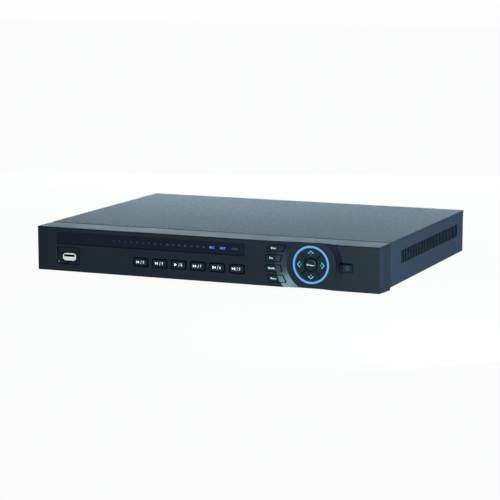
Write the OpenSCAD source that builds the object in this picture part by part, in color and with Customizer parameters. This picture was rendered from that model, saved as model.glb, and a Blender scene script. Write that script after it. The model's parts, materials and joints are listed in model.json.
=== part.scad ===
// Digital video recorder in a one-unit steel case with a plastic front bezel.
// Millimetres. +X is the right-hand side seen from the front, +Y runs to the back, +Z is up.
// The origin is under the middle of the whole object, on the surface that the feet stand on.
// Everything is drawn in the case frame (front face at y 0, underside at z 0) and placed by in_case().

/* [Case] */
// Width of the case across the bezel
case_w = 375; // [370:1:390]
// Depth from the bezel's front face to the rear lip of the cover
case_d = 285; // [285:1:300]
// Height of the case without its feet
case_h = 45; // [45:0.5:48]
// Thickness of the steel sheet
sheet_t = 1; // [0.8:0.1:1]
// Height of the rubber feet
foot_h = 3.5; // [3:0.5:6]
// Radius of the rubber feet
foot_r = 10; // [8:0.5:12]

/* [Bezel] */
// Depth of the plastic bezel
bezel_d = 33.5; // [32:0.5:33.5]
// Thickness of the bezel's front wall
front_t = 2.5; // [2.3:0.1:2.5]
// Thickness of the bezel's side walls
side_t = 2; // [1.8:0.1:2]
// How far the bezel's underside drops towards the back
chin_drop = 2.4; // [1.4:0.1:2.6]

/* [Indicator window] */
// Left edge of the window from the centre
window_x0 = -165; // [-168:0.5:-160]
// Right edge of the window from the centre
window_x1 = 46.2; // [44:0.1:48]
// Height of the window
window_h = 12.7; // [11:0.1:12.9]
// Middle height of the window
window_z = 34; // [33.5:0.1:34.3]
// Number of channel indicators
channels = 16; // [4:1:16]
// Spacing of the channel indicators
channel_pitch = 6.73; // [6:0.01:6.8]

/* [Keys] */
// Number of media keys in the row
media_keys = 6; // [1:1:6]
// Spacing of the media keys
media_pitch = 21.3; // [20:0.1:22]
// Width of a media key's opening
media_w = 16.9; // [15:0.1:17.5]
// Height of a media key's opening
media_h = 9.3; // [8:0.1:9.5]
// Middle height of the media keys
media_z = 14.2; // [14:0.1:15]
// Spacing of the four function keys
function_pitch = 10.17; // [10:0.01:10.3]
// Height of a function key's opening
function_h = 7.5; // [7:0.1:7.6]
// How far a key travels
travel = 0.6; // [0.4:0.1:0.6]
// Gap between a key and its opening
key_gap = 0.45; // [0.3:0.05:0.5]
// How far a key stands proud of the surface around it
key_proud = 0.5; // [0.3:0.1:0.6]

/* [Navigation dish] */
// Middle of the dish from the centre of the bezel
dish_x = 114.8; // [113:0.1:116]
// Outer radius of the dish's cone
dish_r = 35.6; // [34:0.1:36]
// Radius of the flat disc at the bottom of the dish
disc_r = 26; // [25:0.1:27]
// Depth of the dish
dish_depth = 5; // [4:0.1:5]
// Outer radius of the light ring
ring_r = 19.1; // [19:0.1:19.4]
// Width of the light ring
ring_w = 2.9; // [2.7:0.1:3.1]
// Radius of the enter key
enter_r = 6.2; // [5.5:0.1:6.4]

/* [Side vents] */
// Number of slots on each side
vent_slots = 37; // [5:1:37]
// Spacing of the slots
vent_pitch = 5.3; // [4.8:0.1:5.3]
// Width of a slot
vent_slot_w = 3.7; // [2:0.1:3.8]
// Height of a slot
vent_h = 13.4; // [8:0.1:14]

/* [Rear] */
// Columns of video inputs, two to a column
video_columns = 8; // [1:1:8]
// Spacing of the video inputs
video_pitch = 14.5; // [14:0.1:14.5]
// How far the video connectors stand out past the case
video_out = 13; // [10:0.5:15]
// Side of the square cooling fan
fan_side = 40; // [40:1:40]
// Number of fan blades
fan_blades = 7; // [5:1:9]

/* [Hidden] */
$fn = 64;
eps = 0.01;

// Case frame
front_y = key_proud - (case_d + video_out + key_proud) / 2;
panel_y1 = case_d - sheet_t;
panel_y0 = panel_y1 - sheet_t;
tray_x = case_w / 2 - sheet_t - 0.2;
tray_y0 = 20;
lip_y0 = bezel_d + 0.6;
cover_y0 = bezel_d + 0.4;
roof_z = case_h - sheet_t;

// Bezel
mid_z = case_h / 2;
bezel_top = case_h - 0.2;
bezel_low = 0.8;
bezel_inner_top = case_h - 2.6;
cone_slope = (dish_r - disc_r) / dish_depth;
dish_back_r = dish_r + 2.6;
ring_bore_r = ring_r + 0.15;
ring_flange_r = ring_r + 2.2;
dish_half_h = bezel_inner_top - mid_z - 0.2;
key_seat_gap = 0.3;
ring_y0 = dish_depth - 0.3;
ring_flange_y0 = dish_depth + front_t + 0.1;
ring_flange_t = 1.2;
carrier_y0 = ring_flange_y0 + ring_flange_t + 0.1;
carrier_t = 1.2;
carrier_r = 27.3;
carrier_screw_r = 24.5;
carrier_screws = [35, 145, 215, 325];
boss_r = 3.2;
boss_points = [[-130, 9], [-130, 39], [-15.5, 5], [57, 22.5], [165, 8], [165, 37]];
tray_boss_points = [for (x = [-181, 181], z = [8, 37]) [x, z]];
usb_x = -152.2;
usb_z = 14;
usb_recess = [25.6, 16.9];
usb_recess_z = 15.6;
usb_recess_depth = 2;

// Keys and the board behind them
board_y0 = 16;
board_t = 1.6;
stem_r = 2;
stem_y1 = 11;
plunger_r = 1.7;
plunger_y1 = 13;
switch_side = 6.2;
switch_y0 = 11.7;
flange_y0 = front_t + 0.2;
flange_t = 1;
flange_edge = 1.0;
media_last_x = 37.7;
arc_out = 46.2;
arc_in = 31.2;
power_x1 = 45;
stem_arc = 42.5;
power_stem_x = 41.5;
arrow_r0 = 7.1;
arrow_r1 = ring_r - ring_w - key_seat_gap;
arrow_stem_r = 11.4;
arrow_split = 0.6;
arrow_angles = [0, 90, 180, 270];
led_z = window_z;
led_x0 = -99.8;
status_x = [10.5, 22.2, 35.1];
function media_x(i) = media_last_x - (media_keys - 1 - i) * media_pitch;
function function_z(i) = (1.5 - i) * function_pitch;
function arc_x(r, z) = sqrt(r * r - z * z);
switch_points = concat(
    [for (i = [0:media_keys - 1]) [media_x(i), media_z]],
    [for (i = [0:3]) [dish_x - arc_x(stem_arc, function_z(i)), mid_z + function_z(i)]],
    [for (a = arrow_angles) [dish_x + arrow_stem_r * cos(a), mid_z + arrow_stem_r * sin(a)]],
    [[dish_x, mid_z], [dish_x + power_stem_x, mid_z]]
);

// Vents, feet and screws
vent_y0 = 67.5;
vent_z0 = 18.9;
foot_x = case_w / 2 - 35;
foot_y = [45, 245];
rear_lip_h = 7;
cover_screw_x = [-160, -58, 56, 160];
cover_screw_z = case_h - rear_lip_h / 2 - 0.4;
screw_head_r = 2.9;
screw_head_h = 1.8;
screw_r = 1.5;

// Drives: 3.5-inch form factor
drive_w = 101.6;
drive_l = 147;
drive_h = 26.1;
drive_y0 = 23;
drive_z0 = 4;
drive_x = [-112, 2];
drive_hole_x = 95.25 / 2;
drive_hole_y = [61.3, 105.7];

// Main board
main_z0 = 6;
main_z1 = main_z0 + board_t;
main_y0 = 188;
main_x0 = -181;
main_x1 = 107;
wing_x0 = 60;
wing_x1 = case_w / 2 - 5;
wing_y0 = 62;
wing_y1 = 256;
tongue_x0 = 157;
board_holes = [[-174, 194], [-174, 250], [-72, 194], [-60, 258], [66, 68], [176, 68], [176, 200]];
jack_y = panel_y0 - 0.6;

// Rear connectors
video_x0 = 98;
row_z = [12, 29];
bnc_barrel_r = 4.85;
bnc_tip_y = case_d + video_out;
single_x = -20;
rca_x = [-37.5, -50];
rca_points = [[-37.5, 12], [-37.5, 29], [-50, 12], [-50, 29], [-20, 12]];
vga_x = -78;
vga_z = 15;
vga_post_gap = 24.99;
hdmi_x = -104;
stack_x = -122;
stack_h = 15.6;
lan_x = -140;
lan_w = 16;
lan_h = 13.5;
terminal_x = -165.2;
terminal_ways = 8;
terminal_pitch = 3.81;
inlet_x = 171;
inlet_z = 13.1;
rocker_z = 29.5;
rocker_pivot_y = panel_y1 - 3;
rocker_tilt = 9;
ground_point = [-104, 30];
fan_x = 134;
fan_d = 20;
fan_y1 = panel_y0 - 0.1;
fan_y0 = fan_y1 - fan_d;
fan_bore_r = 19;
fan_hole_gap = 32;
rotor_r = 18.3;
rotor_hub_r = 10.5;

// ---- Helpers ----

module in_case() translate([0, front_y, foot_h]) children();

// Extrudes a front-view outline (x, z) from y0 to y1.
module front_extrude(y0, y1) translate([0, y1, 0]) rotate([90, 0, 0]) linear_extrude(y1 - y0) children();

// Extrudes a side-view outline (y, z) from x0 to x1.
module side_extrude(x0, x1) translate([x0, 0, 0]) rotate([90, 0, 90]) linear_extrude(x1 - x0) children();

module y_rod(y0, y1, r, r1 = undef, sides = 64)
    translate([0, y0, 0]) rotate([-90, 0, 0])
        cylinder(h = y1 - y0, r1 = r, r2 = is_undef(r1) ? r : r1, $fn = sides);

module block(low, high) translate(low) cube(high - low);

// A rounded rectangle as a polygon, centred on c.
function rounded(w, h, r, c = [0, 0], steps = 6) = [
    for (q = [0:3], i = [0:steps])
        let (a = 90 * q + 90 * i / steps,
             sx = (q == 0 || q == 3) ? 1 : -1,
             sy = q < 2 ? 1 : -1)
        c + [sx * (w / 2 - r) + r * cos(a), sy * (h / 2 - r) + r * sin(a)]
];

// An outline between two arcs about the dish's middle, from height z0 to z1, with its corners eased by c.
// side is -1 on the left of the dish and 1 on its right; flat replaces the outer arc with a straight edge.
function arc_outline(r0, r1, z0, z1, c, side, flat = undef, steps = 6) =
    let (outer = function(z) is_undef(flat) ? arc_x(r1, z) : flat,
         inner = function(z) arc_x(r0, z),
         rise = z1 - z0 - 2 * c)
    concat(
        [for (i = [0:steps]) let (z = z0 + c + rise * i / steps) [side * outer(z), z]],
        [[side * (outer(z1) - 0.3 * c), z1 - 0.3 * c], [side * (outer(z1) - c), z1]],
        [[side * (inner(z1) + c), z1], [side * (inner(z1) + 0.3 * c), z1 - 0.3 * c]],
        [for (i = [0:steps]) let (z = z1 - c - rise * i / steps) [side * inner(z), z]],
        [[side * (inner(z0) + 0.3 * c), z0 + 0.3 * c], [side * (inner(z0) + c), z0]],
        [[side * (outer(z0) - c), z0], [side * (outer(z0) - 0.3 * c), z0 + 0.3 * c]]
    );

// A band of thickness t that follows a list of side-view points.
function unit(v) = v / norm(v);
function path_normal(p, i) =
    let (a = p[max(i - 1, 0)], b = p[min(i + 1, len(p) - 1)], d = unit(b - a)) [-d[1], d[0]];
function band(p, t) = concat(
    [for (i = [0:len(p) - 1]) p[i] + path_normal(p, i) * t / 2],
    [for (i = [len(p) - 1:-1:0]) p[i] - path_normal(p, i) * t / 2]
);

// A pan-head screw along +Y whose head sits outside y_head.
module rear_screw(y_head, length, r = screw_r) {
    difference() {
        union() {
            y_rod(y_head, y_head + screw_head_h, screw_head_r, screw_head_r - 0.6);
            y_rod(y_head - length, y_head + eps, r);
        }
        for (a = [0, 90])
            translate([0, y_head + screw_head_h - 0.9, 0]) rotate([0, a, 0])
                translate([-1.9, 0, -0.35]) cube([3.8, 1, 0.7]);
    }
}

// A pan-head screw that points down from z_head.
module down_screw(z_head, length, r = screw_r) {
    difference() {
        union() {
            translate([0, 0, z_head]) cylinder(h = screw_head_h, r1 = screw_head_r,
                r2 = screw_head_r - 0.6);
            translate([0, 0, z_head - length]) cylinder(h = length + eps, r = r);
        }
        for (a = [0, 90])
            rotate([0, 0, a]) translate([-1.9, -0.35, z_head + screw_head_h - 0.9]) cube([3.8, 0.7, 1]);
    }
}

module at_dish() translate([dish_x, 0, mid_z]) children();

// A disc behind the dish, cut level above and below so that it fits inside the bezel.
module clipped_disc(y0, y1, r) intersection() {
    y_rod(y0, y1, r);
    front_extrude(y0, y1) square([2 * r + 1, 2 * dish_half_h], center = true);
}

// ---- Front bezel and what it carries ----

module bezel_shell() {
    outer = [
        [0, 0.5 - bezel_low], [0.5, -bezel_low], [bezel_d - 4, -chin_drop], [bezel_d - 1.8, -chin_drop],
            [bezel_d, 0.8 - chin_drop],
        [bezel_d, bezel_top], [1, bezel_top - 0.05], [0.4, bezel_top - 0.2], [0.1, bezel_top - 0.5],
            [0, bezel_top - 1]
    ];
    cavity = [
        [front_t, 1.8], [tray_y0 - 0.7, 1.8], [tray_y0 - 0.7, -0.1], [bezel_d + 1, -0.1],
        [bezel_d + 1, bezel_inner_top], [front_t, bezel_inner_top]
    ];
    difference() {
        side_extrude(-case_w / 2, case_w / 2) polygon(outer);
        difference() {
            side_extrude(-case_w / 2 + side_t, case_w / 2 - side_t) polygon(cavity);
            at_dish() y_rod(front_t - 1, dish_depth + front_t, dish_back_r + cone_slope,
                dish_back_r - cone_slope * dish_depth);
            at_dish() for (a = carrier_screws) rotate([0, a, 0]) translate([carrier_screw_r, 0, 0])
                y_rod(front_t, carrier_y0, 2.4);
            for (p = boss_points) translate([p[0], 0, p[1]]) y_rod(front_t - 1, board_y0, boss_r);
            for (p = tray_boss_points) translate([p[0], 0, p[1]])
                y_rod(front_t - 1, tray_y0 - 0.05, boss_r);
            front_extrude(front_t - 1, front_t + 1)
                translate([(window_x0 + window_x1) / 2, window_z])
                    square([window_x1 - window_x0, window_h], center = true);
        }
    }
}

module bezel_openings() {
    window_w = window_x1 - window_x0;
    window_c = [(window_x0 + window_x1) / 2, window_z];
    at_dish() y_rod(-1, 0, dish_r + cone_slope, dish_r);
    at_dish() y_rod(-eps, dish_depth, dish_r, disc_r);
    at_dish() y_rod(dish_depth - 1, dish_depth + front_t + 1, ring_bore_r);
    front_extrude(-1, 2.1) polygon(rounded(window_w, window_h, 0.6, window_c));
    for (i = [0:channels - 1]) translate([led_x0 + i * channel_pitch, 0, led_z]) y_rod(1, front_t + 2, 1.1);
    for (x = status_x) translate([x, 0, led_z]) y_rod(1, front_t + 2, 1.6);
    for (i = [0:media_keys - 1])
        front_extrude(-1, front_t + 1) polygon(rounded(media_w, media_h, 1.8, [media_x(i), media_z]));
    at_dish() for (i = [0:3])
        front_extrude(-1, dish_depth + front_t + 1)
            polygon(arc_outline(arc_in - key_gap, arc_out + key_gap,
                function_z(i) - function_h / 2, function_z(i) + function_h / 2, 1.1, -1));
    at_dish() front_extrude(-1, dish_depth + front_t + 1)
        polygon(arc_outline(arc_in - key_gap, undef, -media_h / 2, media_h / 2, 1.1, 1,
            power_x1 + key_gap));
    front_extrude(-1, usb_recess_depth) polygon(rounded(usb_recess[0], usb_recess[1], 2.5,
        [usb_x, usb_recess_z]));
    front_extrude(-1, front_t + 1) polygon(rounded(16.6, 9.6, 2.6, [usb_x, usb_z], 1));
    for (p = boss_points) translate([p[0], 0, p[1]]) y_rod(board_y0 - 9, board_y0 + 1, 1.35);
    for (p = tray_boss_points) translate([p[0], 0, p[1]]) y_rod(tray_y0 - 9, tray_y0 + 1, 1.35);
    at_dish() for (a = carrier_screws) rotate([0, a, 0]) translate([carrier_screw_r, 0, 0])
        y_rod(carrier_y0 - 2.6, carrier_y0 + 1, 0.95);
}

module front_bezel() color("#262b33") in_case() difference() {
    bezel_shell();
    bezel_openings();
}

module indicator_window() color("#141a26") in_case()
    front_extrude(0.35, 2) polygon(rounded(window_x1 - window_x0 - 0.3, window_h - 0.3, 0.5,
        [(window_x0 + window_x1) / 2, window_z]));

module light_ring() color("#5aa0ec") in_case() at_dish() difference() {
    union() {
        y_rod(ring_y0, ring_flange_y0 + eps, ring_r);
        clipped_disc(ring_flange_y0, ring_flange_y0 + ring_flange_t, ring_flange_r);
    }
    y_rod(ring_y0 - 1, carrier_y0, ring_r - ring_w);
}

module nav_carrier() color("#15181c") in_case() at_dish() difference() {
    clipped_disc(carrier_y0, carrier_y0 + carrier_t, carrier_r);
    for (a = carrier_screws) rotate([0, a, 0]) translate([carrier_screw_r, 0, 0])
        y_rod(carrier_y0 - 1, carrier_y0 + 3, 1.1);
    for (a = arrow_angles) rotate([0, a, 0]) translate([arrow_stem_r, 0, 0])
        y_rod(carrier_y0 - 1, carrier_y0 + 3, stem_r + 0.4);
    y_rod(carrier_y0 - 1, carrier_y0 + 3, stem_r + 0.4);
}

// USB type A receptacle: a folded shell with flared lips and a plastic core with a tongue.
usb_in = [12.5, 5.1];
usb_skin = 0.4;
module usb_shell(y0, y1, lip) difference() {
    union() {
        front_extrude(y0 + 0.5, y1) square(usb_in + [2, 2] * usb_skin, center = true);
        if (lip > 0) front_extrude(y0, y0 + 0.6) polygon(rounded(usb_in[0] + 2 * lip,
            usb_in[1] + 2 * lip, lip + 0.8, [0, 0], 1));
    }
    front_extrude(y0 - 1, y1 + 1) square(usb_in, center = true);
}
module usb_core(y0, y1) {
    front_extrude(y1 - 2.5, y1) square(usb_in - [0.1, 0.1], center = true);
    front_extrude(y0, y1 - 2.4) translate([0, -0.6]) square([11.1, 1.84], center = true);
}

module front_usb_shell() color("silver") in_case() translate([usb_x, 0, usb_z])
    usb_shell(2.2, board_y0 - 0.1, 1.2);

module front_usb_core() color("white") in_case() translate([usb_x, 0, usb_z]) usb_core(3.4, board_y0 - 0.1);

// ---- Keys ----

// The stem that presses a switch, and the switch's own plunger, which moves with it.
module key_stem(y0) {
    y_rod(y0, stem_y1, stem_r);
    y_rod(stem_y1 + 0.05, plunger_y1, plunger_r);
}

module media_key(i) color("#20252c") in_case() {
    c = [media_x(i), media_z];
    w = media_w - 2 * key_gap;
    h = media_h - 2 * key_gap;
    front_extrude(0.1 - key_proud, flange_y0 + eps) polygon(rounded(w, h, 1.5, c));
    front_extrude(-key_proud, 0.1 - key_proud + eps) polygon(rounded(w - 0.5, h - 0.5, 1.3, c));
    front_extrude(flange_y0, flange_y0 + flange_t) polygon(rounded(w + 2 * flange_edge,
        h + 2 * flange_edge, 1.5, c));
    translate([c[0], 0, c[1]]) key_stem(flange_y0 + flange_t - eps);
}

// Keys that run down the dish's cone have their front cut to the same cone, a little proud of it.
module dish_key(outline, stem_x, stem_z, flange) {
    difference() {
        front_extrude(-key_proud, dish_depth + front_t) polygon(outline);
        y_rod(-key_proud - 1, dish_depth - key_proud, dish_r + cone_slope, disc_r);
    }
    front_extrude(flange_y0, flange_y0 + flange_t) polygon(flange);
    translate([stem_x, 0, stem_z]) key_stem(dish_depth + front_t - eps);
}

module function_key(i) color("#20252c") in_case() at_dish() {
    z0 = function_z(i) - function_h / 2 + key_gap;
    z1 = function_z(i) + function_h / 2 - key_gap;
    dish_key(
        arc_outline(arc_in, arc_out, z0, z1, 0.9, -1),
        -arc_x(stem_arc, function_z(i)), function_z(i),
        arc_outline(dish_back_r + 0.9, arc_out + flange_edge, z0 - flange_edge, z1 + flange_edge, 0.9, -1)
    );
}

module power_key() color("#20252c") in_case() at_dish() {
    half = media_h / 2 - key_gap;
    dish_key(
        arc_outline(arc_in, undef, -half, half, 0.9, 1, power_x1),
        power_stem_x, 0,
        arc_outline(dish_back_r + 0.9, undef, -half - flange_edge, half + flange_edge, 0.9, 1,
            power_x1 + flange_edge)
    );
}

module arrow_key(a) color("#23282f") in_case() at_dish() rotate([0, -a, 0]) {
    front_y0 = dish_depth - key_proud;
    back_y = ring_flange_y0 - 0.3;
    reach = 2 * ring_r;
    difference() {
        y_rod(front_y0, back_y, arrow_r1);
        y_rod(front_y0 - 1, back_y + 1, arrow_r0);
        for (s = [-1, 1]) rotate([0, s * 45, 0])
            translate([-reach / 2, front_y0 - 1, s > 0 ? arrow_split / 2 - reach : -arrow_split / 2])
                cube([reach, back_y - front_y0 + 2, reach]);
    }
    translate([arrow_stem_r, 0, 0]) {
        key_stem(back_y - eps);
        y_rod(carrier_y0 + carrier_t + 0.2, stem_y1 - 0.1, stem_r + 0.7);
    }
}

module enter_key() color("#262b31") in_case() at_dish() {
    y_rod(dish_depth - 1.4, dish_depth - 0.9, enter_r - 1.2, enter_r - 0.2);
    y_rod(dish_depth - 0.9 - eps, ring_flange_y0, enter_r);
    key_stem(ring_flange_y0 - eps);
    y_rod(carrier_y0 + carrier_t + 0.2, stem_y1 - 0.1, stem_r + 0.7);
}

// ---- Board behind the bezel ----

module key_board() color("#1d5b34") in_case() difference() {
    front_extrude(board_y0, board_y0 + board_t) translate([-3, mid_z]) square([344, 38], center = true);
    for (p = boss_points) translate([p[0], 0, p[1]]) y_rod(board_y0 - 1, board_y0 + 3, 1.6);
}

module switch_bodies() color("#101214") in_case()
    for (p = switch_points) translate([p[0], 0, p[1]]) difference() {
        front_extrude(switch_y0, board_y0 - 0.02) square(switch_side, center = true);
        y_rod(switch_y0 - 1, plunger_y1 + travel + 0.3, plunger_r + 0.15);
    }

module front_leds() color("#dfe8f5") in_case() {
    for (i = [0:channels - 1]) translate([led_x0 + i * channel_pitch, 0, led_z])
        front_extrude(board_y0 - 1, board_y0 - 0.02) square([1.6, 0.8], center = true);
    for (x = status_x) translate([x, 0, led_z]) front_extrude(board_y0 - 1, board_y0 - 0.02)
        square([2, 1.2], center = true);
    at_dish() for (a = [45:90:315]) rotate([0, a, 0]) translate([(ring_r + ring_flange_r) / 2 - 1.5, 0, 0])
        front_extrude(board_y0 - 1.5, board_y0 - 0.02) square([2, 2], center = true);
}

module front_screws() color("silver") in_case() {
    for (p = boss_points) translate([p[0], 0, p[1]]) rear_screw(board_y0 + board_t + 0.02, 8, 1.25);
    for (p = tray_boss_points) translate([p[0], 0, p[1]]) rear_screw(tray_y0 + sheet_t + 0.02, 8, 1.25);
    at_dish() for (a = carrier_screws) rotate([0, a, 0]) translate([carrier_screw_r, 0, 0]) {
        y_rod(carrier_y0 + carrier_t + 0.02, carrier_y0 + carrier_t + 1.2, 1.9);
        y_rod(carrier_y0 - 2, carrier_y0 + carrier_t + 0.1, 0.85);
    }
}

// ---- Steel case ----

module chassis_base() color("#8d9296") in_case() {
    front_half = case_w / 2 - side_t - 0.3;
    difference() {
        union() {
            block([-front_half, tray_y0, 0], [front_half, lip_y0 + eps, sheet_t]);
            block([-tray_x, lip_y0, 0], [tray_x, panel_y1, sheet_t]);
            block([-front_half, tray_y0, 0], [front_half, tray_y0 + sheet_t, case_h - 5]);
            for (s = [-1, 1]) translate([s * (tray_x - sheet_t / 2), 0, 0])
                block([-sheet_t / 2, lip_y0, 0], [sheet_t / 2, panel_y0 - 0.1, 12]);
            for (p = board_holes) translate([p[0], p[1], sheet_t / 2])
                cylinder(h = main_z0 - sheet_t / 2, r = 3);
            for (x = drive_x, s = [-1, 1], y = drive_hole_y)
                translate([x + s * drive_hole_x, y, sheet_t / 2])
                    cylinder(h = drive_z0 - sheet_t / 2, r1 = 4.2, r2 = 3.6);
        }
        for (p = board_holes) translate([p[0], p[1], -1]) cylinder(h = main_z0 + 2, r = screw_r + 0.1);
        for (x = drive_x, s = [-1, 1], y = drive_hole_y)
            translate([x + s * drive_hole_x, y, -1]) cylinder(h = drive_z0 + 2, r = 2);
        for (s = [-1, 1], y = foot_y) translate([s * foot_x, y, -1]) cylinder(h = 3, r = 2);
        for (p = tray_boss_points) translate([p[0], 0, p[1]]) y_rod(tray_y0 - 1, tray_y0 + 2, 1.6);
        block([-64, tray_y0 - 1, 8], [-46, tray_y0 + 2, 30]);
        for (x = [75:8:171]) block([x, tray_y0 - 1, 10], [x + 4, tray_y0 + 2, 32]);
        for (x = [75:7:159]) block([x, 90, -1], [x + 3, 130, 2]);
        for (x = [-40:7:44]) block([x, 118, -1], [x + 3, 150, 2]);
    }
}

module fan_grille_2d() {
    difference() {
        union() {
            for (r = [5, 9.5, 14, 18.5]) difference() {
                circle(r);
                circle(r - 3.2);
            }
        }
        for (a = [0, 60, 120]) rotate(a) square([2 * fan_bore_r + 2, 2], center = true);
    }
}

module vga_outline(grow) {
    w = 16.4 + 2 * grow;
    h = 7.9 + 2 * grow;
    polygon([
        [-w / 2 + 0.9, h / 2], [w / 2 - 0.9, h / 2], [w / 2, h / 2 - 0.9], [w / 2 - 1.1, -h / 2 + 0.8],
        [w / 2 - 2.1, -h / 2], [-w / 2 + 2.1, -h / 2], [-w / 2 + 1.1, -h / 2 + 0.8], [-w / 2, h / 2 - 0.9]
    ]);
}

module rear_panel() color("#7f8488") in_case() {
    difference() {
        union() {
            front_extrude(panel_y0, panel_y1) translate([0, (roof_z + sheet_t) / 2])
                square([2 * tray_x, roof_z - sheet_t - 0.1], center = true);
            block([-tray_x + 10, panel_y0 - 9, sheet_t + 0.05], [tray_x - 10, panel_y0 + eps, 2 * sheet_t]);
            for (x = [tongue_x0 - 46, tongue_x0 - 12])
                block([x, panel_y0 - 9, roof_z - 1.1], [x + 8, panel_y0 + eps, roof_z - 0.1]);
        }
        for (i = [0:video_columns - 1], z = row_z) translate([video_x0 - i * video_pitch, 0, z])
            y_rod(panel_y0 - 1, panel_y1 + 1, 5.3);
        translate([single_x, 0, row_z[1]]) y_rod(panel_y0 - 1, panel_y1 + 1, 5.3);
        for (p = rca_points) translate([p[0], 0, p[1]]) y_rod(panel_y0 - 1, panel_y1 + 1, 5.1);
        front_extrude(panel_y0 - 1, panel_y1 + 1) {
            translate([vga_x, vga_z]) vga_outline(0.4);
            translate([hdmi_x, main_z1 + 3.4]) square([15.6, 6.8], center = true);
            translate([stack_x, main_z1 + stack_h / 2 + 0.05]) square([14, stack_h + 0.5], center = true);
            translate([lan_x, main_z1 + lan_h / 2 + 0.05])
                square([lan_w + 0.5, lan_h + 0.5], center = true);
            translate([terminal_x, main_z1 + 9.8]) square([terminal_ways * terminal_pitch + 1.5, 20],
                center = true);
            translate([inlet_x, inlet_z]) square([9.6, 11.6], center = true);
            translate([inlet_x, rocker_z]) square([9, 13.4], center = true);
            translate([fan_x, mid_z]) fan_grille_2d();
        }
        for (s = [-1, 1]) translate([vga_x + s * vga_post_gap / 2, 0, vga_z])
            y_rod(panel_y0 - 1, panel_y1 + 1, 1.7);
        for (sx = [-1, 1], sz = [-1, 1]) translate([fan_x + sx * fan_hole_gap / 2, 0,
            mid_z + sz * fan_hole_gap / 2])
            y_rod(panel_y0 - 1, panel_y1 + 1, screw_r + 0.2);
        for (x = cover_screw_x) translate([x, 0, cover_screw_z])
            y_rod(panel_y0 - 1, panel_y1 + 1, screw_r + 0.1);
        translate([ground_point[0], 0, ground_point[1]]) y_rod(panel_y0 - 1, panel_y1 + 1, 2.1);
    }
}

module top_cover() color("#59636e") in_case() difference() {
    union() {
        block([-case_w / 2, cover_y0, roof_z], [case_w / 2, case_d, case_h]);
        for (s = [-1, 1]) translate([s * (case_w - sheet_t) / 2, 0, 0])
            block([-sheet_t / 2, cover_y0, 0], [sheet_t / 2, panel_y1, roof_z + eps]);
        block([-case_w / 2, panel_y1 + 0.05, case_h - rear_lip_h], [case_w / 2, case_d, roof_z + eps]);
    }
    for (i = [0:vent_slots - 1])
        block([-case_w, vent_y0 + i * vent_pitch, vent_z0],
            [case_w, vent_y0 + i * vent_pitch + vent_slot_w, vent_z0 + vent_h]);
    for (x = cover_screw_x) translate([x, 0, cover_screw_z]) y_rod(panel_y1 - 1, case_d + 1, screw_r + 0.2);
    for (s = [-1, 1]) translate([fan_x + s * fan_hole_gap / 2, 0, mid_z + fan_hole_gap / 2])
        y_rod(panel_y1 - 1, case_d + 1, screw_head_r + 0.5);
}

module case_screws() color("#b9bdc2") in_case() {
    for (x = cover_screw_x) translate([x, 0, cover_screw_z]) rear_screw(case_d + 0.02, 8);
    for (sx = [-1, 1], sz = [-1, 1])
        translate([fan_x + sx * fan_hole_gap / 2, 0, mid_z + sz * fan_hole_gap / 2])
            rear_screw(panel_y1 + 0.02, 12);
}

module rubber_feet() color("#17181a") in_case()
    for (s = [-1, 1], y = foot_y) translate([s * foot_x, y, -foot_h]) difference() {
        union() {
            cylinder(h = 1, r1 = foot_r - 1, r2 = foot_r);
            translate([0, 0, 1 - eps]) cylinder(h = foot_h - 1, r = foot_r);
        }
        translate([0, 0, -1]) cylinder(h = 2.6, r = 4);
        translate([0, 0, 1]) cylinder(h = foot_h, r = 1.6);
    }

module ground_screw() color("#c9a24a") in_case() translate([ground_point[0], 0, ground_point[1]]) {
    y_rod(panel_y1 + 0.02, panel_y1 + 0.8, 4.4);
    rear_screw(panel_y1 + 0.85, 9, 1.9);
}

// ---- Rear connectors ----

module video_block() color("#1b1d20") in_case() {
    last_x = video_x0 - (video_columns - 1) * video_pitch;
    block([last_x - 7.2, jack_y - 20, main_z1 + 0.02], [video_x0 + 7.2, jack_y, row_z[1] + 7.2]);
}

// One bayonet video connector at the origin: sleeve, flange, barrel and two lugs.
module bnc_shell() difference() {
    union() {
        y_rod(jack_y + 0.05, panel_y1 + 0.05, 5);
        y_rod(panel_y1 + 0.03, panel_y1 + 1.6, 6.5);
        y_rod(panel_y1 + 1.5, bnc_tip_y - 1.2, bnc_barrel_r);
        y_rod(bnc_tip_y - 1.25, bnc_tip_y, bnc_barrel_r, bnc_barrel_r - 0.35);
        translate([0, bnc_tip_y - 4.5, 0]) rotate([0, 90, 0]) cylinder(h = 11.2, r = 1, center = true);
    }
    y_rod(panel_y1 + 4, bnc_tip_y + 1, 4.1);
}

module bnc_core() difference() {
    y_rod(panel_y1 + 4.02, bnc_tip_y - 2, 2.45);
    y_rod(panel_y1 + 6, bnc_tip_y, 0.7);
}

module at_video_points() {
    for (i = [0:video_columns - 1], z = row_z) translate([video_x0 - i * video_pitch, 0, z]) children();
    translate([single_x, 0, row_z[1]]) children();
}

module bnc_shells() color("#d5d8db") in_case() at_video_points() bnc_shell();

module bnc_cores() color("#f2f0ea") in_case() at_video_points() bnc_core();

module audio_block() color("#1b1d20") in_case()
    block([rca_x[1] - 6.6, jack_y - 18, main_z1 + 0.02], [single_x + 6.8, jack_y, row_z[1] + 7.2]);

module rca_shells() color("#cfd2d6") in_case() for (p = rca_points) translate([p[0], 0, p[1]])
    difference() {
    union() {
        y_rod(jack_y + 0.05, panel_y1 + 0.05, 4.8);
        y_rod(panel_y1 + 0.03, panel_y1 + 1.2, 5.8);
        y_rod(panel_y1 + 1.1, panel_y1 + 9.5, 4.15);
    }
    y_rod(panel_y1 + 2, panel_y1 + 10, 3.5);
}

module rca_cores() color("#e8e4dc") in_case() for (p = rca_points) translate([p[0], 0, p[1]]) difference() {
    y_rod(panel_y1 + 2.02, panel_y1 + 9, 3.45);
    y_rod(panel_y1 + 3, panel_y1 + 10, 1.6);
}

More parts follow.
